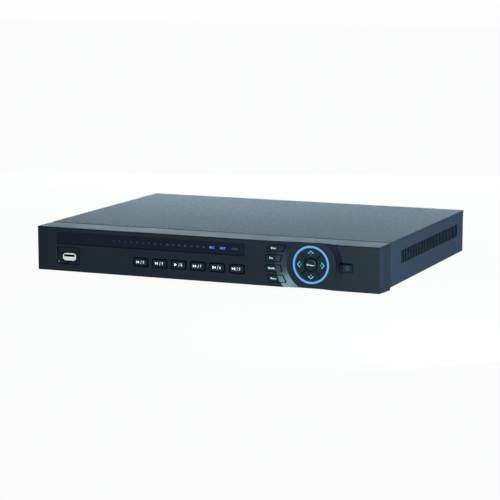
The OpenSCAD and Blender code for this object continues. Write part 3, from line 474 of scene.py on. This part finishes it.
def circuit_board():
    board = Surface("circuit_board", (0.012, 0.085, 0.030), 0.3, specular=0.5)
    tracks = board.noise(420, 1.0, stretch=(1, 0.12, 1))
    board.mottled(tracks, (0.010, 0.070, 0.024), (0.016, 0.105, 0.040))
    board.rough(board.noise(300, 2.0), 0.26, 0.36)
    board.bump((tracks, 0.03 * MM))
    return board.material


def print_ink(name, colour, glow=0.0):
    ink = Surface(name, colour, 0.5, specular=0.3)
    grain = ink.noise(2500, 2.0)
    ink.mottled(grain, shade(colour, 0.94), colour)
    ink.rough(grain, 0.45, 0.55)
    if glow:
        ink.set("Emission Color", (*colour, 1))
        ink.set("Emission Strength", glow)
    return ink.material


MATERIALS = {
    "wrinkle_paint": wrinkle_paint(),
    "bezel_plastic": bezel_satin(),
    "bezel_brow_shade": bezel_brow_shade(),
    "key_plastic": key_plastic(),
    "window_plastic": smoked_window(),
    "ring_plastic": lit_ring(),
    "black_plastic": black_plastic(),
    "component_plastic": black_plastic("component_plastic", (0.016, 0.017, 0.019), 0.4),
    "fan_plastic": black_plastic("fan_plastic", (0.018, 0.019, 0.021), 0.35),
    "white_plastic": moulded("white_plastic", (0.72, 0.72, 0.68)),
    "blue_plastic": moulded("blue_plastic", (0.016, 0.060, 0.300)),
    "green_plastic": moulded("green_plastic", (0.018, 0.200, 0.060)),
    "led_plastic": moulded("led_plastic", (0.72, 0.80, 0.95), 0.2),
    "cable_plastic": moulded("cable_plastic", (0.35, 0.02, 0.015)),
    "ribbon_plastic": moulded("ribbon_plastic", (0.42, 0.43, 0.45)),
    "nickel": plated("nickel", (0.72, 0.72, 0.70), 0.2),
    "zinc_steel": plated("zinc_steel", (0.58, 0.59, 0.60), 0.32),
    "brass": plated("brass", (0.70, 0.50, 0.22), 0.28),
    "heatsink_aluminium": plated("heatsink_aluminium", (0.60, 0.62, 0.64), 0.4),
    "cast_aluminium": plated("cast_aluminium", (0.50, 0.52, 0.54), 0.5),
    "sheet_steel": sheet_steel(),
    "foot_rubber": rubber(),
    "circuit_board": circuit_board(),
}
GLOSS = bezel_gloss()
REAR_PAINT = rear_paint()
# White with a glow: painted shine on the front socket's metal shell, and on the white tongue in it
WHITE_AND_PAINTED_SHINE = print_ink("white_and_painted_shine", (0.92, 0.78, 0.64), 0.22)
PAINTED_SHADE = painted_shade_black()
# Apart from the lit REC and NET marks, the glow of these inks is painted light that brightens each mark
WHITE_INK = print_ink("white_ink", (0.84, 0.88, 0.90), 0.55)
SOFT_INK = print_ink("soft_ink", (0.66, 0.71, 0.73), 0.36)
DIM_INK = print_ink("dim_ink", (0.30, 0.33, 0.36), 0.4)
PAINTED_GLINT_INK = print_ink("painted_glint_ink", (0.05, 0.06, 0.075), 0.55)
GREY_INK = print_ink("grey_ink", (0.07, 0.085, 0.10), 0.25)
CYAN_INK = print_ink("cyan_ink", (0.20, 0.52, 0.62), 0.6)
TEAL_INK = print_ink("teal_ink", (0.08, 0.36, 0.55), 0.6)
BLUE_LIGHT = print_ink("blue_light", (0.12, 0.22, 0.80), 0.7)
POWER_BLUE = print_ink("power_blue", (0.05, 0.09, 0.36), 0.6)
REAR_INK = print_ink("rear_ink", (0.62, 0.64, 0.65))


def paint_nodes():
    """Every CAD node gets its slot's material, apart from three that differ from it: the rear panel's paint,
    white with painted shine on the front socket's shell, and painted shade on the socket's core.
    """
    slot_of = {part["node"]: part["material_slot"] for part in frame["record"]["subparts"]}
    for name, node in nodes.items():
        node.data.materials.clear()
        node.data.materials.append(MATERIALS[slot_of[name]])
    nodes["rear_panel"].data.materials[0] = REAR_PAINT
    nodes["front_usb_shell"].data.materials[0] = WHITE_AND_PAINTED_SHINE
    nodes["front_usb_core"].data.materials[0] = PAINTED_SHADE


SIDEWAYS = 0.5  # a face is side-on to an axis when its normal has less than this along it
SLOT_FRONT = 20 * MM  # distances from the cover's front, back and top ends to the area of its slots
SLOT_BACK = 12 * MM
SLOT_TOP = 8 * MM
GAP_DEPTH = 8 * MM  # how deep the painted shade on the sides of keys and of their openings runs
BEZEL_MARGIN = 6 * MM
KEY_MARGIN = -1 * MM  # below zero, so it takes in the key's own sides
BROW_DEPTH = 1.5 * MM  # extent of the rounded edge above the front
BROW_DROP = 1.2 * MM
BROW_UP = 0.15  # least upward part of the normal of its faces
CONE_OUTER = 35.6 * MM
CONE_INNER = 26.0 * MM
CONE_SLACK = 0.03
CONE_TILT = math.radians(27.5)
TILT_SLACK = 0.15  # radians
BEZEL_RADIUS = 0.25 * MM
COVER_RADIUS = 0.35 * MM
KEY_RADIUS = 0.25 * MM
RADIUS_SEGMENTS = 2
RADIUS_ANGLE = math.radians(32)  # sharper turns of the surface than this are rounded


def extra_material(name, material):
    """Adds a second finish to a CAD node and returns its index."""
    materials = nodes[name].data.materials
    materials.append(material)
    return len(materials) - 1


def shade_slots():
    """Painted shade on the cut edges of the side slots, which stay dark."""
    index = extra_material("top_cover", PAINTED_SHADE)
    low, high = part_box("top_cover")
    for face in nodes["top_cover"].data.polygons:
        middle = face.center
        along = low.y + SLOT_FRONT < middle.y < high.y - SLOT_BACK
        if along and middle.z < high.z - SLOT_TOP and abs(face.normal.x) < SIDEWAYS:
            face.material_index = index


def paint_shade_inside(name):
    """Painted shade on the inner walls of a tube-like shell, which lie in shadow."""
    index = extra_material(name, PAINTED_SHADE)
    middle = centre(name)
    for face in nodes[name].data.polygons:
        offset = face.center - middle
        offset.y = 0
        if abs(face.normal.y) < SIDEWAYS and face.normal.dot(offset) < 0:
            face.material_index = index


def paint_gap_shade(name, margin):
    """Painted shade on side walls near the front, which read as the dark gap around a key.

    Only those that lie further than the margin inside the node's box are darkened.
    """
    index = extra_material(name, PAINTED_SHADE)
    low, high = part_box(name)
    for face in nodes[name].data.polygons:
        middle = face.center
        near_front = middle.y < low.y + GAP_DEPTH
        inside_x = low.x + margin < middle.x < high.x - margin
        inside_z = low.z + margin < middle.z < high.z - margin
        if near_front and inside_x and inside_z and abs(face.normal.y) < SIDEWAYS:
            face.material_index = index


def paint_brow_shade():
    """Painted shade on the rounded edge above the front, so it reads darker than the top behind it."""
    index = extra_material("front_bezel", MATERIALS["bezel_brow_shade"])
    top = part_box("front_bezel")[1].z
    for face in nodes["front_bezel"].data.polygons:
        middle = face.center
        near_edge = middle.y < FRONT_Y + BROW_DEPTH and middle.z > top - BROW_DROP
        if near_edge and face.normal.z > BROW_UP:
            face.material_index = index


def polish_cone(name):
    """Gives the faces that lie on the dish's cone the glossy finish."""
    mesh = nodes[name].data
    index = extra_material(name, GLOSS)
    for face in mesh.polygons:
        offset = face.center - DISH
        radius = math.hypot(offset.x, offset.z)
        on_cone = CONE_INNER * (1 - CONE_SLACK) < radius < CONE_OUTER * (1 + CONE_SLACK)
        tilt = math.acos(max(-1, min(1, -face.normal.y)))
        if on_cone and abs(tilt - CONE_TILT) < TILT_SLACK:
            face.material_index = index


def round_edges(name, width, rim=None):
    """A small moulded or rolled radius on a CAD node's edges, with its own finish if one is given as rim."""
    bevel = nodes[name].modifiers.new("edges", "BEVEL")
    bevel.width = width
    bevel.segments = RADIUS_SEGMENTS
    bevel.limit_method = "ANGLE"
    bevel.angle_limit = RADIUS_ANGLE
    bevel.use_clamp_overlap = True
    if rim:
        bevel.material = extra_material(name, rim)


# ---- Printed legends ----


FONT_SIZE = 1.38  # font size over the height of its capitals
FONT_STEPS = 3  # straight pieces in each curve of a character


def finish_piece(name, mesh, body, material):
    """Puts a mesh in the scene as a named piece that moves with a body."""
    piece = bpy.data.objects.new(name, mesh)
    scene.collection.objects.link(piece)
    mesh.materials.clear()
    mesh.materials.append(material)
    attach(piece, body)


def facing(point, front):
    """Matrix that stands a flat XY shape up at a point, facing the front or else the back."""
    turn = Matrix.Rotation(math.radians(90), 4, "X")
    if not front:
        turn = Matrix.Rotation(math.radians(180), 4, "Z") @ turn
    return Matrix.Translation(point) @ turn


def printed_mesh(name, outlines, point, body, material, thickness=PRINT):
    """Thin raised print on the front: each outline is a closed list of (x, y) points, counter-clockwise."""
    bm = bmesh.new()
    for outline in outlines:
        lower = [bm.verts.new((x, y, 0)) for x, y in outline]
        upper = [bm.verts.new((x, y, thickness)) for x, y in outline]
        bm.faces.new(upper)
        bm.faces.new(list(reversed(lower)))
        for i in range(len(outline)):
            j = (i + 1) % len(outline)
            bm.faces.new((lower[i], lower[j], upper[j], upper[i]))
    bmesh.ops.recalc_face_normals(bm, faces=bm.faces)
    mesh = bpy.data.meshes.new(name)
    bm.to_mesh(mesh)
    bm.free()
    mesh.transform(facing(point, True))
    finish_piece(name, mesh, body, material)


def printed_text(name, words, height, point, body, material, front=True, weight=0.0,
                 stretch=1.0):
    """Words in a plain face, centred on a point, as a thin solid mesh; the weight thickens their strokes."""
    curve = bpy.data.curves.new(name, "FONT")
    curve.body = words
    curve.align_x = "CENTER"
    curve.align_y = "CENTER"
    curve.size = height * FONT_SIZE
    curve.extrude = PRINT / 2
    curve.offset = weight
    curve.resolution_u = FONT_STEPS
    text = bpy.data.objects.new(name + "_text", curve)
    scene.collection.objects.link(text)
    bpy.context.view_layer.update()
    graph = bpy.context.evaluated_depsgraph_get()
    mesh = bpy.data.meshes.new_from_object(text.evaluated_get(graph))
    bpy.data.objects.remove(text)
    mesh.transform(Matrix.Translation((0, 0, PRINT / 2)) @ Matrix.Diagonal((stretch, 1, 1, 1)))
    mesh.transform(facing(point, front))
    mesh.name = name
    finish_piece(name, mesh, body, material)


def rectangle(x0, y0, x1, y1):
    return [(x0, y0), (x1, y0), (x1, y1), (x0, y1)]


def triangle(x0, x1, half):
    """Points from x0 towards x1."""
    if x1 > x0:
        return [(x0, -half), (x1, 0), (x0, half)]
    return [(x0, half), (x1, 0), (x0, -half)]


def ring_sector(inner, outer, start, end, steps=24):
    """A band between two radii, from one angle to another, in degrees, as short quads."""
    quads = []
    for i in range(steps):
        a = math.radians(start + (end - start) * i / steps)
        b = math.radians(start + (end - start) * (i + 1) / steps)
        quads.append([
            (inner * math.cos(a), inner * math.sin(a)),
            (outer * math.cos(a), outer * math.sin(a)),
            (outer * math.cos(b), outer * math.sin(b)),
            (inner * math.cos(b), inner * math.sin(b)),
        ])
    return quads


def shifted(outlines, dx):
    return [[(x + dx, y) for x, y in outline] for outline in outlines]


SYMBOL_WIDTHS = {"|": 0.6 * MM, "<": 2.1 * MM, ">": 2.1 * MM}
SYMBOL_HALF = 1.4 * MM  # half its height
SYMBOL_GAP = 0.15 * MM


def transport_symbol(shapes):
    """Bars and triangles side by side, centred; the shapes are a string of |, < and >."""
    outlines = []
    start = -(sum(SYMBOL_WIDTHS[shape] for shape in shapes) + SYMBOL_GAP * (len(shapes) - 1)) / 2
    for shape in shapes:
        end = start + SYMBOL_WIDTHS[shape]
        if shape == "|":
            outlines.append(rectangle(start, -SYMBOL_HALF, end, SYMBOL_HALF))
        elif shape == ">":
            outlines.append(triangle(start, end, SYMBOL_HALF))
        else:
            outlines.append(triangle(end, start, SYMBOL_HALF))
        start = end + SYMBOL_GAP
    return outlines


# Each media key has a symbol, a slash and a digit; the places are from the middle of the key.
MEDIA_LEGENDS = [("|<", "0"), (">|", "9"), ("|>", "8"), (">>", "7"), ("||<", "6"), (">||", "5")]
SYMBOL_X = -3.4 * MM
SLASH_X = 0.5 * MM
SLASH_HALF = 1.8 * MM  # half its height
SLASH_LEAN = 0.65 * MM
SLASH_LINE = 0.35 * MM
DIGIT_X = 3.1 * MM
DIGIT_HEIGHT = 2.9 * MM
DIGIT_WEIGHT = 0.05 * MM
DIGIT_STRETCH = 0.72


def add_media_legends():
    near, far = SLASH_LEAN - SLASH_LINE, SLASH_LEAN
    slash = [[(-far, -SLASH_HALF), (-near, -SLASH_HALF), (far, SLASH_HALF), (near, SLASH_HALF)]]
    for key, (shapes, digit) in zip(MEDIA_KEYS, MEDIA_LEGENDS):
        middle = centre(key)
        front = Vector((middle.x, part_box(key)[0].y, middle.z))
        outlines = shifted(transport_symbol(shapes), SYMBOL_X) + shifted(slash, SLASH_X)
        printed_mesh(key + "_symbol", outlines, front, key, WHITE_INK)
        place = front + Vector((DIGIT_X, 0, 0))
        printed_text(key + "_digit", digit, DIGIT_HEIGHT, place, key, WHITE_INK,
                     weight=DIGIT_WEIGHT, stretch=DIGIT_STRETCH)


# Words of the function keys, and how far the middle of each lies from its key's left end.
FUNCTION_WORDS = [("Esc", 8.1 * MM), ("Fn", 7.0 * MM), ("Shift", 7.4 * MM), ("Rec", 8.1 * MM)]
WORD_HEIGHT = 1.85 * MM
WORD_WEIGHT = 0.05 * MM
WORD_STRETCH = 1.65


def add_function_legends():
    for key, (word, reach) in zip(FUNCTION_KEYS, FUNCTION_WORDS):
        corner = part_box(key)[0]
        place = Vector((corner.x + reach, corner.y, centre(key).z))
        printed_text(key + "_word", word, WORD_HEIGHT, place, key, SOFT_INK,
                     weight=WORD_WEIGHT, stretch=WORD_STRETCH)


# Direction keys: angle around the dish, and digit. Distances are from the dish's middle line.
ARROW_LEGENDS = [(0, "3"), (90, "1"), (180, "2"), (270, "4")]
CHEVRON_TIP = 14.3 * MM
CHEVRON_HALF = 3.1 * MM  # half its width across
CHEVRON_RISE = 2.8 * MM  # from its ends to its tip
CHEVRON_BEND = 0.621 * MM  # its line, measured along the way it points: at the tip,
CHEVRON_END = 0.72  # and as a share of that, at its ends
CHEVRON_TRIM = 0.35 * MM  # how much nearer the inner corners of the ends are
ARROW_DIGIT_REACH = 10.5 * MM
ARROW_DIGIT_HEIGHT = 1.9 * MM
ENTER_HEIGHT = 1.6 * MM
ENTER_WEIGHT = 0.03 * MM
ENTER_STRETCH = 1.7


def add_direction_legends():
    tip, inner_tip = CHEVRON_TIP, CHEVRON_TIP - CHEVRON_BEND
    end = CHEVRON_TIP - CHEVRON_RISE
    inner_end = end - CHEVRON_BEND * CHEVRON_END
    half, inner_half = CHEVRON_HALF, CHEVRON_HALF - CHEVRON_TRIM
    chevron = [
        [(tip, 0), (end, half), (inner_end, inner_half), (inner_tip, 0)],
        [(tip, 0), (inner_tip, 0), (inner_end, -inner_half), (end, -half)],
    ]
    for key, (turn, digit) in zip(ARROW_KEYS, ARROW_LEGENDS):
        cos, sin = math.cos(math.radians(turn)), math.sin(math.radians(turn))
        turned = [[(x * cos - y * sin, x * sin + y * cos) for x, y in outline] for outline in chevron]
        face = Vector((DISH.x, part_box(key)[0].y, DISH.z))
        printed_mesh(key + "_chevron", turned, face, key, CYAN_INK)
        place = face + Vector((ARROW_DIGIT_REACH * cos, 0, ARROW_DIGIT_REACH * sin))
        printed_text(key + "_digit", digit, ARROW_DIGIT_HEIGHT, place, key, TEAL_INK, weight=DIGIT_WEIGHT)
    place = Vector((DISH.x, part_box("enter_key")[0].y, DISH.z))
    printed_text("enter_word", "Enter", ENTER_HEIGHT, place, "enter_key", SOFT_INK,
                 weight=ENTER_WEIGHT, stretch=ENTER_STRETCH)


POWER_INSET = 5.9 * MM  # from the key's right-hand end to the middle of the symbol
POWER_ARC = (1.7 * MM, 2.05 * MM)  # inner and outer radius
POWER_OPENING = (130, 410)  # where the arc starts and ends, in degrees; it is open at the top
POWER_BAR_HALF = 0.22 * MM
POWER_BAR = (0.4 * MM, 2.7 * MM)


def add_power_legend():
    low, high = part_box("power_key")
    place = Vector((high.x - POWER_INSET, low.y, DISH.z))
    outlines = ring_sector(*POWER_ARC, *POWER_OPENING)
    outlines.append(rectangle(-POWER_BAR_HALF, POWER_BAR[0], POWER_BAR_HALF, POWER_BAR[1]))
    printed_mesh("power_symbol", outlines, place, "power_key", POWER_BLUE)


CHANNELS = 16
CHANNEL_FIRST = -99.8 * MM
CHANNEL_PITCH = 6.73 * MM
CHANNEL_HEIGHT = 2.0 * MM
CHANNEL_WEIGHT = 0.03 * MM
MARKS = [("REC", 10.5 * MM, BLUE_LIGHT), ("NET", 22.2 * MM, BLUE_LIGHT), ("HDD", 35.1 * MM, GREY_INK)]
MARK_HEIGHT = 2.3 * MM
MARK_WEIGHT = 0.04 * MM
SEAM_BELOW = 0.45 * MM  # how far the seam reaches below and above the window's lower edge
SEAM_ABOVE = 0.2 * MM


def add_window_legends():
    """The channel numbers and the status marks, which sit on the window's face."""
    middle = centre("indicator_window").z
    for i in range(CHANNELS):
        place = Vector((CHANNEL_FIRST + i * CHANNEL_PITCH, WINDOW_Y, middle))
        number = str(i + 1)
        printed_text("channel_" + number, number, CHANNEL_HEIGHT, place, "case", GREY_INK,
                     weight=CHANNEL_WEIGHT)
    for word, x, ink in MARKS:
        place = Vector((x, WINDOW_Y, middle))
        printed_text("mark_" + word, word, MARK_HEIGHT, place, "case", ink, weight=MARK_WEIGHT)


def add_window_edge():
    """Painted shade: the dark seam along the lower edge of the window."""
    low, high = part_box("indicator_window")
    half = (high.x - low.x) / 2
    seam = Vector(((low.x + high.x) / 2, FRONT_Y, low.z))
    printed_mesh("window_seam", [rectangle(-half, -SEAM_BELOW, half, SEAM_ABOVE)], seam, "case",
                 PAINTED_SHADE)


def rounded_frame(width, height, corner, line, steps=6):
    """A band of quads around a round-cornered rectangle, just outside it; each corner has this many steps."""
    inner, outer = [], []
    for quarter, (sx, sy) in enumerate(((1, 1), (-1, 1), (-1, -1), (1, -1))):
        x = sx * (width / 2 - corner)
        y = sy * (height / 2 - corner)
        for i in range(steps + 1):
            a = math.radians(90 * (quarter + i / steps))
            for points, radius in ((inner, corner), (outer, corner + line)):
                points.append((x + radius * math.cos(a), y + radius * math.sin(a)))
    count = len(inner)
    return [[inner[i], outer[i], outer[(i + 1) % count], inner[(i + 1) % count]] for i in range(count)]


FACE_REACH = 5.0 * MM  # how far behind a key's foremost point front faces are still looked for
GAP_REACH = 0.6 * MM  # how far outside a key's box the edges of its opening lie at most
SAME_PLACE = 6  # decimals of a metre to which two ends of edges have to agree
RIMS = [  # keys, width of the band of painted shade on the key, and on the bezel around it
    (MEDIA_KEYS, 0.4 * MM, 0.3 * MM),
    (FUNCTION_KEYS, 0.2 * MM, 0.15 * MM),
    (["power_key"], 0.15 * MM, 0.1 * MM),
    (ARROW_KEYS, 0.1 * MM, 0),
    (["enter_key"], 0.6 * MM, 0),
]
SHADOW_TOP = 1.1 * MM  # the painted shadow line on the power key: below its top, in from its sides, and its height
SHADOW_INSET = 1.2 * MM
SHADOW_HEIGHT = 0.9 * MM


def front_edges(mesh, depth):
    """The faces on each edge of a mesh's forward faces, down to a depth."""
    owners = {}
    for face in mesh.polygons:
        if face.normal.y < -SIDEWAYS and face.center.y < depth:
            for edge in face.edge_keys:
                places = (tuple(round(v, SAME_PLACE) for v in mesh.vertices[i].co) for i in edge)
                owners.setdefault(tuple(sorted(places)), []).append(face)
    return owners


def shade_band(name, node, line, key, body):
    """A band of painted shade of a given width along the outer edges of a node's forward faces, near a key.
    """
    low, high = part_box(key)
    reach = Vector((GAP_REACH, GAP_REACH, GAP_REACH))
    owners = front_edges(nodes[node].data, low.y + FACE_REACH)
    low, high = low - reach, high + reach
    points, quads = [], []
    for (a, b), faces in owners.items():
        a, b = Vector(a), Vector(b)
        middle = (a + b) / 2
        close = low.x < middle.x < high.x and low.z < middle.z < high.z
        if len(faces) > 1 or not close:
            continue
        normal = faces[0].normal
        inward = normal.cross(b - a).normalized() * line
        if inward.dot(faces[0].center - a) < 0:
            inward = -inward
        lift = normal * PRINT
        quads.append([len(points) + k for k in range(4)])
        points += [a + lift, b + lift, b + inward + lift, a + inward + lift]
    band = bpy.data.meshes.new(name)
    band.from_pydata([tuple(point) for point in points], [], quads)
    finish_piece(name, band, body, PAINTED_SHADE)


def add_key_rims():
    """The painted shade that outlines every key: a band on its own edge, for some keys one on the bezel
    around it, and a painted shadow line on the power key.
    """
    for keys, on_key, on_bezel in RIMS:
        for key in keys:
            shade_band(key + "_rim", key, on_key, key, key)
            if on_bezel:
                shade_band(key + "_gap", "front_bezel", on_bezel, key, "case")
    low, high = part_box("power_key")
    top = Vector(((low.x + high.x) / 2, low.y, high.z - SHADOW_TOP))
    half = (high.x - low.x) / 2 - SHADOW_INSET
    printed_mesh("power_key_shadow", [rectangle(-half, -SHADOW_HEIGHT, half, 0)], top, "power_key",
                 PAINTED_SHADE)


USB_PANEL_WIDTH = 25.6 * MM  # the sunk panel around the front socket
USB_PANEL_HEIGHT = 16.9 * MM
USB_PANEL_Z = 15.6 * MM  # its middle, above the underside of the cover
USB_PANEL_DEPTH = 2.0 * MM
PANEL_CORNER = 2.5 * MM
PANEL_LINE = 0.55 * MM
SOCKET_SLACK = 1.2 * MM  # width and height that the socket's surround of painted shade has beyond the socket
SOCKET_CORNER = 2.4 * MM
SOCKET_LINE = 0.9 * MM
# A small glowing dot near the panel's lower left corner
USB_DOT_RADIUS = 0.95 * MM
USB_DOT_INSET = (0.5 * MM, 1.3 * MM)  # from the panel's left-hand side and from its lower side
GLINT_START = 1.1 * MM  # the painted highlight left of the panel: how far out it reaches,
GLINT_FOOT = 3.5 * MM  # and how far from the panel's lower and upper side it ends
GLINT_HEAD = 1.5 * MM
TONGUE_SIDE = 0.7 * MM  # the tongue's distance from the socket's sides and from its underside
TONGUE_FOOT = 1.3 * MM
TONGUE_TOP = 0.1 * MM  # above the socket's middle
TONGUE_SUNK = 1.2 * MM  # behind the socket's rim
TONGUE_THICK = 1.0 * MM


def add_usb_surround():
    """Painted shade in the gaps around the sunk panel and its socket, a painted highlight on the panel's
    edge, a small glowing dot and the tongue.
    """
    shell = centre("front_usb_shell")
    face = Vector((shell.x, FRONT_Y, CASE_Z + USB_PANEL_Z))
    gap = rounded_frame(USB_PANEL_WIDTH, USB_PANEL_HEIGHT, PANEL_CORNER, PANEL_LINE)
    printed_mesh("usb_panel_gap", gap, face, "case", PAINTED_SHADE)
    low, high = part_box("front_usb_shell")
    floor = Vector((shell.x, FRONT_Y + USB_PANEL_DEPTH, shell.z))
    width, height = high.x - low.x + SOCKET_SLACK, high.z - low.z + SOCKET_SLACK
    gap = rounded_frame(width, height, SOCKET_CORNER, SOCKET_LINE)
    printed_mesh("usb_socket_gap", gap, floor, "case", PAINTED_SHADE)
    left, foot, head = -USB_PANEL_WIDTH / 2, -USB_PANEL_HEIGHT / 2, USB_PANEL_HEIGHT / 2
    light = face + Vector((left + USB_DOT_INSET[0], USB_PANEL_DEPTH, foot + USB_DOT_INSET[1]))
    printed_mesh("usb_bright_dot", ring_sector(0.0, USB_DOT_RADIUS, 0, 360, 12), light, "case", DIM_INK)
    glint = rectangle(left - GLINT_START, foot + GLINT_FOOT, left - PANEL_LINE, head - GLINT_HEAD)
    printed_mesh("usb_panel_painted_glint", [glint], face, "case", PAINTED_GLINT_INK)
    tongue = rectangle(low.x - shell.x + TONGUE_SIDE, low.z - shell.z + TONGUE_FOOT,
                       high.x - shell.x - TONGUE_SIDE, TONGUE_TOP)
    front = Vector((shell.x, low.y + TONGUE_SUNK, shell.z))
    printed_mesh("usb_tongue", [tongue], front, "case", WHITE_AND_PAINTED_SHINE, TONGUE_THICK)


REAR_COLUMNS = 8
REAR_FIRST = 98 * MM
REAR_PITCH = 14.5 * MM
REAR_ROWS = (20.4 * MM, 37.4 * MM)  # heights of the numbers above the underside of the cover
REAR_HEIGHT = 2.2 * MM


def add_rear_legends():
    """A number over each video input, read from behind: down each column, then on to the next."""
    for column in range(REAR_COLUMNS):
        for row, z in enumerate(REAR_ROWS):
            number = str(2 * column + row + 1)
            place = Vector((REAR_FIRST - column * REAR_PITCH, PANEL_Y, CASE_Z + z))
            printed_text("input_" + number, number, REAR_HEIGHT, place, "case", REAR_INK,
                         front=False)


# ---- The scene ----


add_camera()
add_floor()
add_room()
add_lights()
paint_nodes()
for name in ["front_bezel", "power_key"] + FUNCTION_KEYS:
    polish_cone(name)
shade_slots()
paint_brow_shade()
round_edges("front_bezel", BEZEL_RADIUS)
round_edges("top_cover", COVER_RADIUS)
paint_shade_inside("front_usb_shell")
paint_gap_shade("front_bezel", BEZEL_MARGIN)
for name in KEYS:
    paint_gap_shade(name, KEY_MARGIN)
    # the keys' rounded edges get painted shade
    round_edges(name, KEY_RADIUS, PAINTED_SHADE)
add_media_legends()
add_function_legends()
add_direction_legends()
add_power_legend()
add_window_legends()
add_window_edge()
add_key_rims()
add_usb_surround()
add_rear_legends()
